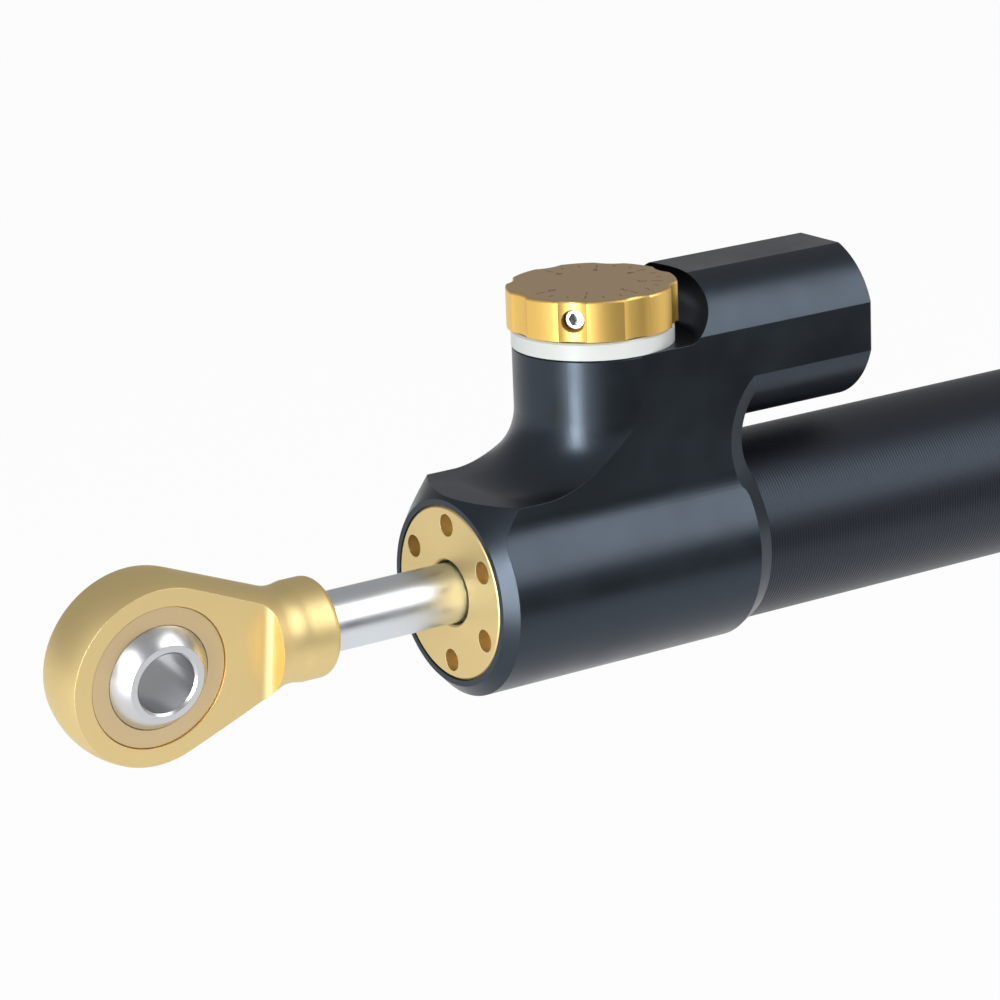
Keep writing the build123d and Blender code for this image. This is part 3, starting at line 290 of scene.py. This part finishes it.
def form_object(name, form):
    """An object from a closed bmesh, its normals facing out."""
    bmesh.ops.remove_doubles(form, verts=form.verts, dist=0.0001)
    bmesh.ops.recalc_face_normals(form, faces=form.faces)
    mesh = bpy.data.meshes.new(name)
    form.to_mesh(mesh)
    form.free()
    piece = bpy.data.objects.new(name, mesh)
    scene.collection.objects.link(piece)
    return piece


def prism(name, outline, axis, start, end):
    """A flat outline drawn out along an axis: its points are the other two coordinates, in order."""
    form = bmesh.new()
    face = form.faces.new([form.verts.new(along_axis(axis, start, *point)) for point in outline])
    grown = bmesh.ops.extrude_face_region(form, geom=[face])["geom"]
    far_corners = [part for part in grown if isinstance(part, bmesh.types.BMVert)]
    bmesh.ops.translate(form, verts=far_corners, vec=along_axis(axis, end - start, 0, 0))
    return form_object(name, form)


def lathe(name, outline, axis="X", place=(0, 0, 0), steps=180):
    """A closed outline of (length, radius) points turned about an axis through place."""
    form = bmesh.new()
    corners = []
    for length, radius in outline:
        aside = (0, radius) if axis == "X" else (radius, 0)
        corners.append(form.verts.new(along_axis(axis, length, *aside)))
    for index, corner in enumerate(corners):
        if outline[index][1] > 0 or outline[index - 1][1] > 0:
            form.edges.new((corners[index - 1], corner))
    bmesh.ops.spin(
        form,
        geom=form.verts[:] + form.edges[:],
        cent=(0, 0, 0),
        axis=along_axis(axis, 1, 0, 0),
        angle=2 * pi,
        steps=steps,
        use_merge=True,
    )
    bmesh.ops.translate(form, verts=form.verts, vec=place)
    return form_object(name, form)


def combine(piece, others, operation):
    """Joins, cuts or trims a piece with others, which are used up."""
    for other in others:
        step = piece.modifiers.new(operation, "BOOLEAN")
        step.operation = operation
        step.solver = "EXACT"
        step.object = other
    evaluated = piece.evaluated_get(bpy.context.evaluated_depsgraph_get())
    result = bpy.data.meshes.new_from_object(evaluated)
    piece.modifiers.clear()
    piece.data = result
    for other in others:
        bpy.data.objects.remove(other)


def bevel_far_edges(piece, axis, beyond, least_turn, offset, segments):
    """Bevels the edges past a place along axis 0, 1 or 2 that turn by least_turn degrees or more."""
    form = bmesh.new()
    form.from_mesh(piece.data)
    far_edges = [edge for edge in form.edges if min(corner.co[axis] for corner in edge.verts) > beyond]
    edges = [edge for edge in far_edges if edge.calc_face_angle(0) >= radians(least_turn)]
    bmesh.ops.bevel(
        form, geom=edges, offset=offset, segments=segments, affect="EDGES", profile=0.5, material=-1
    )
    form.to_mesh(piece.data)
    form.free()


def finish_form(piece, body, slot, material, *nodes):
    """Makes a form metres, shades it smooth up to its edges and puts it in its nodes' place."""
    shortest_edge, sharp_turn = 0.0005, 15
    form = bmesh.new()
    form.from_mesh(piece.data)
    bmesh.ops.dissolve_degenerate(form, dist=shortest_edge, edges=form.edges)
    bmesh.ops.scale(form, verts=form.verts, vec=(millimetre,) * 3)
    for face in form.faces:
        face.smooth = True
    for edge in form.edges:
        edge.smooth = edge.calc_face_angle(0) < radians(sharp_turn)
    form.to_mesh(piece.data)
    form.free()
    piece.data.materials.clear()
    piece.data.materials.append(material)
    even = piece.modifiers.new("even shading", "WEIGHTED_NORMAL")
    even.keep_sharp = True
    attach(piece, body)
    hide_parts(*nodes)


# Cutters stand past the surface by the margin or twice as much, and a hair keeps faces out of one plane
margin, hair = 1.0, 0.01

# Head block: its section is a circle under a slab, blended at the corners
head_front, head_rear, head_radius = 45.8, 89.0, 14.11
half_width, deck_height, turret_top, blend = 10.74, 12.93, 29.7, 8.0
turret_x, reservoir_height, reservoir_radius, reservoir_top = 70.04, 27.1, 11.25, 37.58
reservoir_rear = 108.6
turret_axis, reservoir_axis = (turret_x, 0, 0), (0, 0, reservoir_height)
blend_y = half_width + blend
blend_z = ((head_radius + blend) ** 2 - blend_y**2) ** 0.5
blend_turn = degrees(atan2(blend_z, blend_y))
head_section = (
    [(half_width, reservoir_top), (half_width, blend_z)]
    + arc((blend_y, blend_z), blend, 180, 180 + blend_turn, 8)[1:]
    + arc((0, 0), head_radius, blend_turn, -180 - blend_turn, 144)[1:]
    + arc((-blend_y, blend_z), blend, -blend_turn, 0, 8)[1:]
    + [(-half_width, reservoir_top)]
)

# A slot frees the reservoir from the tube and turns down into the rear face
slot_radius, turn_radius, slot_x, slot_top = 8.75, 6.0, 95.65, 23.75
slot_z = slot_top - slot_radius
turn_x = head_rear - turn_radius
turn_z = slot_z - ((slot_radius + turn_radius) ** 2 - (slot_x - turn_x) ** 2) ** 0.5
turn_angle = degrees(atan2(slot_z - turn_z, slot_x - turn_x))
slot_wall = arc((slot_x, slot_z), slot_radius, 90, 180 + turn_angle, 40)
slot_turn = arc((turn_x, turn_z), turn_radius, turn_angle, 0, 16)

# The slab starts slightly too high, and the scallop cuts it down to the turret's top
slab_rear, slab_top, outside = 85.0, turret_top + 0.2, 20.0
side_outline = (
    [(head_front, -outside), (head_front, deck_height), (turret_x, deck_height), (turret_x, slab_top)]
    + [(slab_rear, slab_top), (slab_rear, reservoir_height), (slot_x, reservoir_height)]
    + slot_wall
    + slot_turn[1:]
    + [(head_rear, -outside)]
)


def side_surface(z):
    """The section's half width at height z, and which way its surface faces there."""
    if z >= blend_z:
        return half_width, Vector((0, 1, 0))
    if z >= head_radius * sin(radians(blend_turn)):
        facing = Vector((0, ((blend**2 - (blend_z - z) ** 2) ** 0.5), blend_z - z)).normalized()
        return blend_y - blend * facing.y, facing
    facing = Vector((0, (head_radius**2 - z**2) ** 0.5, z)).normalized()
    return head_radius * facing.y, facing


# One wide bevel follows the slot's edge down both sides and round the rear end
band_length, band_depth, band_overrun = 2.6, 1.16, 3.0
stations = []
for x, z in [(slot_x + band_overrun, slot_top)] + slot_wall + slot_turn[1:]:
    y, facing = side_surface(z)
    if (x, z) in slot_turn:
        inward = ((turn_x - x) / turn_radius, (turn_z - z) / turn_radius)
    else:
        inward = (min(x - slot_x, 0) / slot_radius, (z - slot_z) / slot_radius)
    up = Vector((0, -facing.z, facing.y))
    stations.append((Vector((x, y, z)), facing, Vector((inward[0], 0, 0)) + inward[1] * up))
rear_turn = degrees(atan2(turn_z, (head_radius**2 - turn_z**2) ** 0.5))
for y, z in arc((0, 0), head_radius, rear_turn, -90, 48)[1:]:
    facing = Vector((0, y, z)).normalized()
    stations.append((Vector((head_rear, y, z)), facing, Vector((-1, 0, 0))))
mirror_y = Matrix.Diagonal((1, -1, 1))
stations += [tuple(mirror_y @ part for part in station) for station in reversed(stations[:-1])]

# The bevel's cutter is a three-cornered bar from station to station
band_form = bmesh.new()
band_rows = []
for edge_point, facing, inward in stations:
    surface_point = edge_point + inward * band_length
    wall_point = edge_point - facing * band_depth
    overlap = margin * (wall_point - surface_point).normalized()
    outer_corner = edge_point + 2 * margin * facing - 2 * margin * inward
    corners = (surface_point - overlap, wall_point + overlap, outer_corner)
    band_rows.append([band_form.verts.new(corner) for corner in corners])
for near_row, far_row in zip(band_rows, band_rows[1:]):
    for index in range(3):
        band_form.faces.new((near_row[index - 1], near_row[index], far_row[index], far_row[index - 1]))
band_form.faces.new(band_rows[0])
band_form.faces.new(band_rows[-1])
band = form_object("band", band_form)

# The bevel leaves the reservoir's housing whole
beyond, spared = 120.0, 0.004
spared_outline = stepped(turret_x, (reservoir_radius + spared, beyond))
combine(band, [lathe("spared", spared_outline, "X", reservoir_axis)], "DIFFERENCE")

# Turret: on a concave foot that sinks a hair into the deck, its chamfered top cut down later
foot, turret_chamfer, turret_spare = 8.5, 0.25, 0.1
turret_end = turret_top + turret_spare
skirt = half_width + foot
tower_outline = (
    [(0, 0), (0, skirt)]
    + [(z, r) for r, z in arc((skirt, deck_height + foot - hair), foot, 270, 180, 24)]
    + [(turret_top - turret_chamfer, half_width)]
    + [(turret_end, half_width - turret_chamfer - turret_spare), (turret_end, 0)]
)
tower = lathe("turret", tower_outline, "Z", turret_axis)
tower_front, tower_rear, tower_base, tower_height = 50, 80, 1, 40
tower_sides = [(tower_front, -outside), (tower_rear, -outside)]
tower_sides += [(tower_rear, outside), (tower_front, outside)]
combine(tower, [prism("tower box", tower_sides, "Z", tower_base, tower_height)], "INTERSECT")

# The side outline, the reservoir's round housing and the turret are joined, and the section trims them
reservoir = lathe("reservoir", stepped(turret_x, (reservoir_radius, reservoir_rear)), "X", reservoir_axis)
head = prism("head", side_outline, "Y", -outside, outside)
combine(head, [reservoir, tower], "UNION")
combine(head, [prism("section", head_section, "X", head_front - margin, beyond)], "INTERSECT")
rear_edge, rear_edge_turn = 0.4, 40
bevel_far_edges(head, 0, reservoir_rear - hair, rear_edge_turn, rear_edge, 1)

# Front bevel, turned at 45 degrees
bevel_inner, bevel_reach = 12.5, 7.0
front_bevel = [
    (head_front, bevel_inner),
    (head_front + bevel_reach, bevel_inner + bevel_reach),
    (head_front - 2 * margin, bevel_inner + bevel_reach),
    (head_front - 2 * margin, bevel_inner),
]

# Scallop that clears the knob: its wall bellies out through three points of (radius, height)
belly = [Vector((13.8, turret_top)), Vector((15.2, 33.3)), Vector((13.1, reservoir_top))]
first, second = belly[1] - belly[0], belly[2] - belly[0]
cross = 2 * (first.x * second.y - first.y * second.x)
belly_middle = belly[0] + Vector(
    (
        second.y * first.length_squared - first.y * second.length_squared,
        first.x * second.length_squared - second.x * first.length_squared,
    )
) / cross
belly_radius = (belly[0] - belly_middle).length
foot_blend = 1.2
foot_z = turret_top + foot_blend
foot_x = belly_middle.x + ((belly_radius - foot_blend) ** 2 - (foot_z - belly_middle.y) ** 2) ** 0.5
foot_turn = degrees(atan2(foot_z - belly_middle.y, foot_x - belly_middle.x))
lip_turn = degrees(atan2(belly[2].y - belly_middle.y, belly[2].x - belly_middle.x))
scallop_outline = (
    [(0, turret_top)]
    + arc((foot_x, foot_z), foot_blend, -90, foot_turn, 12)
    + arc(belly_middle, belly_radius, foot_turn, lip_turn, 24)[1:]
    + [(belly[2].x, reservoir_top + 2 * margin), (0, reservoir_top + 2 * margin)]
)
scallop = lathe("scallop", [(z, r) for r, z in scallop_outline], "Z", turret_axis)

# Main bore, from the front: cap, seal carrier, chamber with its narrow land, and the tube's thread
cap_length, cap_bore, carrier_end, carrier_bore = 6.5, 11.72, 14.0, 10.92
chamber_bore, land_front, land_rear, land_bore = 10.4, 71.4, 74.4, 9.22
tube_shoulder, tube_bore = 78.8, 12.72
main_outline = stepped(
    head_front - 2 * margin,
    (cap_bore, head_front + cap_length),
    (carrier_bore, head_front + carrier_end),
    (chamber_bore, land_front),
    (land_bore, land_rear),
    (chamber_bore, tube_shoulder),
    (tube_bore, head_rear + 2 * margin),
)
main_bore = lathe("main bore", main_outline)

# Valve bore under the knob: the sleeve's seat and the wider gland above it
valve_floor, sleeve_bore, sleeve_top, gland_bore = 16.5, 5.22, 24.6, 6.52
valve_outline = stepped(valve_floor, (sleeve_bore, sleeve_top), (gland_bore, turret_top + margin))
valve_bore = lathe("valve bore", valve_outline, "Z", turret_axis)

# Reservoir bore, open at the rear, with the circlip's groove
bore_floor, bore_radius, groove_front, groove_rear, groove_radius, bore_end = 86.3, 9, 106.7, 107.7, 9.7, 110
reservoir_outline = stepped(
    bore_floor, (bore_radius, groove_front), (groove_radius, groove_rear), (bore_radius, bore_end)
)
reservoir_bore = lathe("reservoir bore", reservoir_outline, "X", reservoir_axis)

head_cutters = [band, lathe("front bevel", front_bevel), scallop, main_bore, valve_bore, reservoir_bore]
combine(head, head_cutters, "DIFFERENCE")
finish_form(head, "barrel", "black_anodised", black_milled, "head_block")


# Rod end: turned with a spherical crown, then milled flat on both sides with a round run-out
def roll_with_eye(piece):
    """Rolls a piece about the rod's axis as the eye is rolled."""
    piece.data.transform(Matrix.Rotation(radians(eye_roll), 4, "X"))
    return piece


eye_roll, eye_radius, eye_half, neck_x, neck_radius = 8.0, 12.65, 4.0, 19.0, 6.2
shank_end, shank_radius, shank_rounding, neck_blend, neck_rise = 25.5, 6.65, 1.4, 6.0, 2.5
taper_turn = degrees(atan2(neck_radius, neck_x) + acos(eye_radius / (neck_x**2 + neck_radius**2) ** 0.5))
crown = arc((0, 0), eye_radius, 180, taper_turn, 48)
taper = (Vector((neck_x, neck_radius)) - Vector(crown[-1])).normalized()
rise = Vector((neck_rise, shank_radius - neck_radius)).normalized()
neck_turn = taper.angle(rise) / 2
neck_reach = neck_blend * sin(neck_turn) / cos(neck_turn)
neck_start = Vector((neck_x, neck_radius)) - taper * neck_reach
neck_middle = neck_start + Vector((-taper.y, taper.x)) * neck_blend
neck = arc(neck_middle, neck_blend, degrees(atan2(-taper.x, taper.y)), degrees(atan2(-rise.x, rise.y)), 12)
rounding = arc((shank_end - shank_rounding, shank_radius - shank_rounding), shank_rounding, 90, 0, 10)
eye_outline = crown + neck + [(neck_x + neck_rise, shank_radius)] + rounding
rod_end = lathe("rod_end", [(x, max(r, 0)) for x, r in eye_outline] + [(shank_end, 0)])
flat_end, runout_radius, before_eye, above_flat = 14.55, 1.6, -16, 18
flat_outline = (
    [(before_eye, eye_half)]
    + arc((flat_end, eye_half + runout_radius), runout_radius, 270, 360, 12)
    + [(flat_end + runout_radius, above_flat), (before_eye, above_flat)]
)
flat_cuts = [
    roll_with_eye(prism("flat", [(x, side * y) for x, y in flat_outline], "Z", -outside, outside))
    for side in (1, -1)
]
seat_radius, thread_hole, thread_start, thread_stop = 9.58, 3.02, 15, 27
race_seat = roll_with_eye(lathe("race seat", stepped(-outside, (seat_radius, outside)), "Y"))
rod_socket = lathe("rod socket", stepped(thread_start, (thread_hole, thread_stop)), steps=96)
combine(rod_end, flat_cuts + [race_seat, rod_socket], "DIFFERENCE")
finish_form(rod_end, "rod", "gold_anodised", gold_eye, "rod_end_body")

# Rod: screwed into the eye at the front, a spigot for the piston at the rear
rod_front, rod_chamfer, thread_radius, rod_radius, spigot_radius = 15.8, 0.5, 3.0, 4.0, 2.5
rod_steps = stepped(
    rod_front + rod_chamfer, (thread_radius, shank_end), (rod_radius, piston_front), (spigot_radius, rod_rear)
)
rod_outline = [(rod_front, 0), (rod_front, thread_radius - rod_chamfer)] + rod_steps[1:]
piston_rod = lathe("piston_rod_form", rod_outline, steps=128)
finish_form(piston_rod, "rod", "rod_chrome", chrome, "piston_rod")

# Bronze race: flush with the eye but for a hair, its bore the ball's sphere
race_half, race_radius, race_edge, ball_fit = 3.8, 9.55, 0.15, 7.99
bore_turn = degrees(asin(race_half / ball_fit))
race_outline = (
    [(y, r) for r, y in arc((0, 0), ball_fit, bore_turn, -bore_turn, 32)]
    + [(-race_half, race_radius - race_edge), (-race_half + race_edge, race_radius)]
    + [(race_half - race_edge, race_radius), (race_half, race_radius - race_edge)]
)
race = roll_with_eye(lathe("race", race_outline, "Y"))
finish_form(race, "rod", "race_bronze", bronze, "bearing_race")

# Front cap: a close hole for the rod with the wiper's room behind it
cap_radius, cap_chamfer, rod_hole, hole_chamfer, cap_wall, wiper_bore = 11.7, 0.35, 4.35, 0.25, 1.6, 7.42
cap_outline = [
    (head_front, rod_hole + hole_chamfer),
    (head_front, cap_radius - cap_chamfer),
    (head_front + cap_chamfer, cap_radius),
    (head_front + cap_length, cap_radius),
    (head_front + cap_length, wiper_bore),
    (head_front + cap_wall, wiper_bore),
    (head_front + cap_wall, rod_hole),
    (head_front + hole_chamfer, rod_hole),
]
front_cap = lathe("cap", cap_outline)

# Six drilled holes with pointed floors take a pin spanner
pin_radius, pin_depth, pin_point, pin_circle = 1.5, 3.0, 0.9, 9.2
pin_outline = [
    (head_front - margin, 0),
    (head_front - margin, pin_radius),
    (head_front + pin_depth, pin_radius),
    (head_front + pin_depth + pin_point, 0),
]
spanner_holes = [
    lathe("hole", pin_outline, "X", (0, pin_circle * cos(radians(turn)), pin_circle * sin(radians(turn))), 48)
    for turn in range(30, 390, 60)
]
combine(front_cap, spanner_holes, "DIFFERENCE")
finish_form(front_cap, "barrel", "gold_anodised", gold_eye, "front_cap")

# Outer tube: plain from the head to its chamfered end, where the rear cap's thread opens it
tube_front, tube_radius, tube_inner, tube_chamfer = 79, 12.7, 11.1, 0.3
thread_bore, thread_length = 11.77, 7
tube_outline = [
    (tube_front, tube_inner),
    (tube_front, tube_radius),
    (tube_end - tube_chamfer, tube_radius),
    (tube_end, tube_radius - tube_chamfer),
    (tube_end, thread_bore),
    (tube_end - thread_length, thread_bore),
    (tube_end - thread_length, tube_inner),
]
outer_tube = lathe("tube", tube_outline, steps=256)
finish_form(outer_tube, "barrel", "black_anodised", black_turned, "outer_tube")

# Knob: eight shallow flutes under a rounded top edge, the first of them with the grub screw's hole
knob_bottom, knob_height, rim_radius, flute_half, flute_depth = 32.25, 5.45, 11.3, 1.95, 0.6
grub_turn, flute_count, top_rounding = 221.5, 8, 0.45
flute_step = 360 / flute_count
rim_drop = rim_radius - (rim_radius**2 - flute_half**2) ** 0.5
flute_radius = (flute_half**2 + (flute_depth - rim_drop) ** 2) / (2 * (flute_depth - rim_drop))
flute_turn = degrees(asin(flute_half / flute_radius))
rim_turn = degrees(asin(flute_half / rim_radius))
knob_outline = []
for flute in range(flute_count):
    towards = grub_turn + flute_step * flute
    flute_middle = arc(turret_axis, rim_radius - flute_depth + flute_radius, towards, towards, 1)[0]
    back = towards + 180
    knob_outline += arc(flute_middle, flute_radius, back + flute_turn, back - flute_turn, 12)
    rim_end = towards + flute_step - rim_turn
    knob_outline += arc(turret_axis, rim_radius, towards + rim_turn, rim_end, 16)[1:-1]
knob = prism("knob", knob_outline, "Z", knob_bottom, knob_bottom + knob_height)
bevel_far_edges(knob, 2, knob_bottom + knob_height - hair, 0, top_rounding, 9)

# The knob's screw hole, its shaft's bore, and the grooves underneath for the stop pin and the click ball
grub_place = Matrix.Translation((turret_x, 0, knob_bottom + knob_height / 2)) @ Matrix.Rotation(
    radians(grub_turn), 4, "Z"
)
grub_start, grub_hole_radius, past_rim = 2.2, 1.52, 14
grub_hole = lathe("grub hole", stepped(grub_start, (grub_hole_radius, past_rim)), steps=64)
grub_hole.data.transform(grub_place)
below_knob, shaft_radius, shaft_top = 30, 2.52, 36.52
shaft_outline = stepped(below_knob, (shaft_radius, shaft_top))
shaft_bore = lathe("shaft bore", shaft_outline, "Z", turret_axis, 96)
knob_cutters = [grub_hole, shaft_bore]
for groove, inner, outer, top in (("stop groove", 8.15, 9.85, 33.2), ("click groove", 3.9, 6.1, 33)):
    groove_outline = [(below_knob, inner), (top, inner), (top, outer), (below_knob, outer)]
    knob_cutters.append(lathe(groove, groove_outline, "Z", turret_axis))
combine(knob, knob_cutters, "DIFFERENCE")
finish_form(knob, "adjuster", "gold_anodised", gold_knob, "adjuster_knob")


# Scale on the knob's top: short engraved strokes, a longer one at every third, and plain numbers
def place_mark(name, mesh, turn):
    """Lays a flat mark on the knob's top, its Y outwards, turned about the knob's axis by turn degrees."""
    mark_height = 0.012 * millimetre
    mesh.transform(
        Matrix.Translation((turret_x * millimetre, 0, knob_top + mark_height))
        @ Matrix.Rotation(radians(turn), 4, "Z")
        @ Matrix.Scale(millimetre, 4)
    )
    mesh.materials.clear()
    mesh.materials.append(engraving)
    mark = bpy.data.objects.new(name, mesh)
    scene.collection.objects.link(mark)
    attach(mark, "adjuster")


scale_start, click_count, click_step, number_count, number_step = 94.5, 19, 15, 7, 45
stroke_half, stroke_outer, short_inner, long_inner = 0.07, 9.4, 8.6, 7.9
number_size, number_thinning, number_radius = 1.7, -0.01, 6.1
for click in range(click_count):
    stroke_inner = long_inner if click % 3 == 0 else short_inner
    name = f"scale_mark_{click}"
    form = bmesh.new()
    sides = ((-stroke_half, stroke_inner), (stroke_half, stroke_inner))
    ends = ((stroke_half, stroke_outer), (-stroke_half, stroke_outer))
    form.faces.new([form.verts.new((x, y, 0)) for x, y in sides + ends])
    mesh = bpy.data.meshes.new(name)
    form.to_mesh(mesh)
    form.free()
    place_mark(name, mesh, scale_start + click_step * click)
for number in range(number_count):
    curve = bpy.data.curves.new(f"number_{number}", "FONT")
    curve.body = str(number)
    curve.size = number_size
    curve.align_x = "CENTER"
    curve.offset = number_thinning
    holder = bpy.data.objects.new(f"number_{number}_text", curve)
    scene.collection.objects.link(holder)
    evaluated = holder.evaluated_get(bpy.context.evaluated_depsgraph_get())
    digits = bpy.data.meshes.new_from_object(evaluated)
    bpy.data.objects.remove(holder)
    digits.transform(Matrix.Translation((0, number_radius, 0)))
    place_mark(f"scale_number_{number}", digits, scale_start + number_step * number)

# Grub screw: a cup of steel with a hexagon socket, sunk below the flute
grub_inner, grub_radius, grub_outer, grub_chamfer = 2.22, 1.5, 9.7, 0.3
socket_floor, socket_end, socket_corner = 7.9, 11, 0.87
grub_outline = [
    (grub_inner, 0),
    (grub_inner, grub_radius),
    (grub_outer - grub_chamfer, grub_radius),
    (grub_outer, grub_radius - grub_chamfer),
    (grub_outer, 0),
]
grub = lathe("grub_screw", grub_outline, steps=64)
hexagon = arc((0, 0), socket_corner, 0, 360, 6)[:-1]
combine(grub, [prism("socket", hexagon, "X", socket_floor, socket_end)], "DIFFERENCE")
grub.data.transform(grub_place)
finish_form(grub, "adjuster", "zinc_steel", zinc_steel, "knob_grub_screw")


# Studio: a narrow soft box by the eye for upright streaks, and a large one on the camera's right
def soft_box(name, place, target, width, height, power):
    """A rectangular lamp at place that faces target."""
    lamp = bpy.data.lights.new(name, "AREA")
    lamp.shape = "RECTANGLE"
    lamp.size = width
    lamp.size_y = height
    lamp.energy = power
    holder = bpy.data.objects.new(name, lamp)
    scene.collection.objects.link(holder)
    holder.location = place
    holder.rotation_euler = (target - place).to_track_quat("-Z", "Y").to_euler()


def studio_sheet(name, half_length, half_width, material):
    """A flat oblong sheet round the origin, for the studio only."""
    form = bmesh.new()
    bmesh.ops.create_grid(form, x_segments=1, y_segments=1, size=1.0)
    bmesh.ops.scale(form, verts=form.verts, vec=(half_length, half_width, 1))
    mesh = bpy.data.meshes.new(name)
    form.to_mesh(mesh)
    form.free()
    mesh.materials.append(material)
    sheet = bpy.data.objects.new(name, mesh)
    scene.collection.objects.link(sheet)
    return sheet


middle = (cad_low + cad_high) / 2
left_place, left_target = Vector((-0.22, -0.155, 0.04)), Vector((0.07, 0.0, 0.02))
soft_box("left soft box", left_place, left_target, width=0.06, height=0.30, power=1.0)
right_place = middle + Vector((0.42, -0.50, 0.36))
soft_box("right soft box", right_place, middle, width=0.50, height=0.72, power=3.5)

# Black felt on a flag low in front: only reflections show it, and it keeps the upright black faces dark
felt = new_material("black felt", "#0A0A0A", 0.0, 1.0)[0]
flag = studio_sheet("front flag", 0.26, 0.075, felt)
flag.data.transform(
    Matrix.Translation((0.15, -0.25, -0.025))
    @ Matrix.Rotation(radians(15), 4, "Z")
    @ Matrix.Rotation(radians(90), 4, "X")
)
flag.visible_camera = False
flag.visible_diffuse = False
flag.visible_shadow = False

# Matt white paper under the damper: white to the eye and in reflections, and it keeps a soft shadow
floor_material, floor_tree, floor_shader = new_material("matt white paper", "#F4F4F4", 0.0, 0.9)
floor_reach, floor_drop, white_share = 4.0, 100 * millimetre, 0.95
floor = studio_sheet("studio floor", floor_reach, floor_reach, floor_material)
floor.data.transform(Matrix.Translation((0, 0, cad_low.z - floor_drop)))
white = add_node(floor_tree, "ShaderNodeEmission", {"Color": (1, 1, 1, 1), "Strength": 1.0})
ray = add_node(floor_tree, "ShaderNodeLightPath").outputs
seen = add_node(
    floor_tree,
    "ShaderNodeMath",
    links={0: ray["Is Camera Ray"], 1: ray["Is Glossy Ray"]},
    operation="MAXIMUM",
)
seen_through = add_node(
    floor_tree,
    "ShaderNodeMath",
    links={0: seen.outputs[0], 1: ray["Is Transmission Ray"]},
    operation="MAXIMUM",
)
paper_white = add_node(
    floor_tree, "ShaderNodeMath", {1: white_share}, {0: seen_through.outputs[0]}, operation="MULTIPLY"
)
floor_mix = add_node(
    floor_tree,
    "ShaderNodeMixShader",
    links={0: paper_white.outputs[0], 1: floor_shader.outputs[0], 2: white.outputs[0]},
)
floor_tree.links.new(floor_mix.outputs[0], floor_tree.nodes["Material Output"].inputs["Surface"])

# The room: one plain grey all round
world = bpy.data.worlds.new("studio room")
scene.world = world
world.use_nodes = True
room_light = world.node_tree.nodes["Background"]
room_light.inputs["Color"].default_value = colour("#FFFFFF")
room_light.inputs["Strength"].default_value = 0.38

scene.view_settings.view_transform = "Standard"

# Camera: where the photograph was taken from
camera_place = Vector((-0.23782, -0.43702, 0.16440))
camera_right = Vector((0.8243, -0.5647, -0.0376)).normalized()
camera_forward = Vector((0.5335, 0.7980, -0.2802)).normalized()
camera_up = camera_right.cross(camera_forward).normalized()
camera_right = camera_forward.cross(camera_up)
camera_data = bpy.data.cameras.new("photo camera")
camera_data.sensor_width = 36.0
camera_data.lens = 150.78
camera_data.clip_start = 0.01
camera_data.clip_end = 20.0
camera = bpy.data.objects.new("photo camera", camera_data)
scene.collection.objects.link(camera)
camera.matrix_world = Matrix.Translation(camera_place) @ Matrix(
    (camera_right, camera_up, -camera_forward)
).transposed().to_4x4()
scene.camera = camera
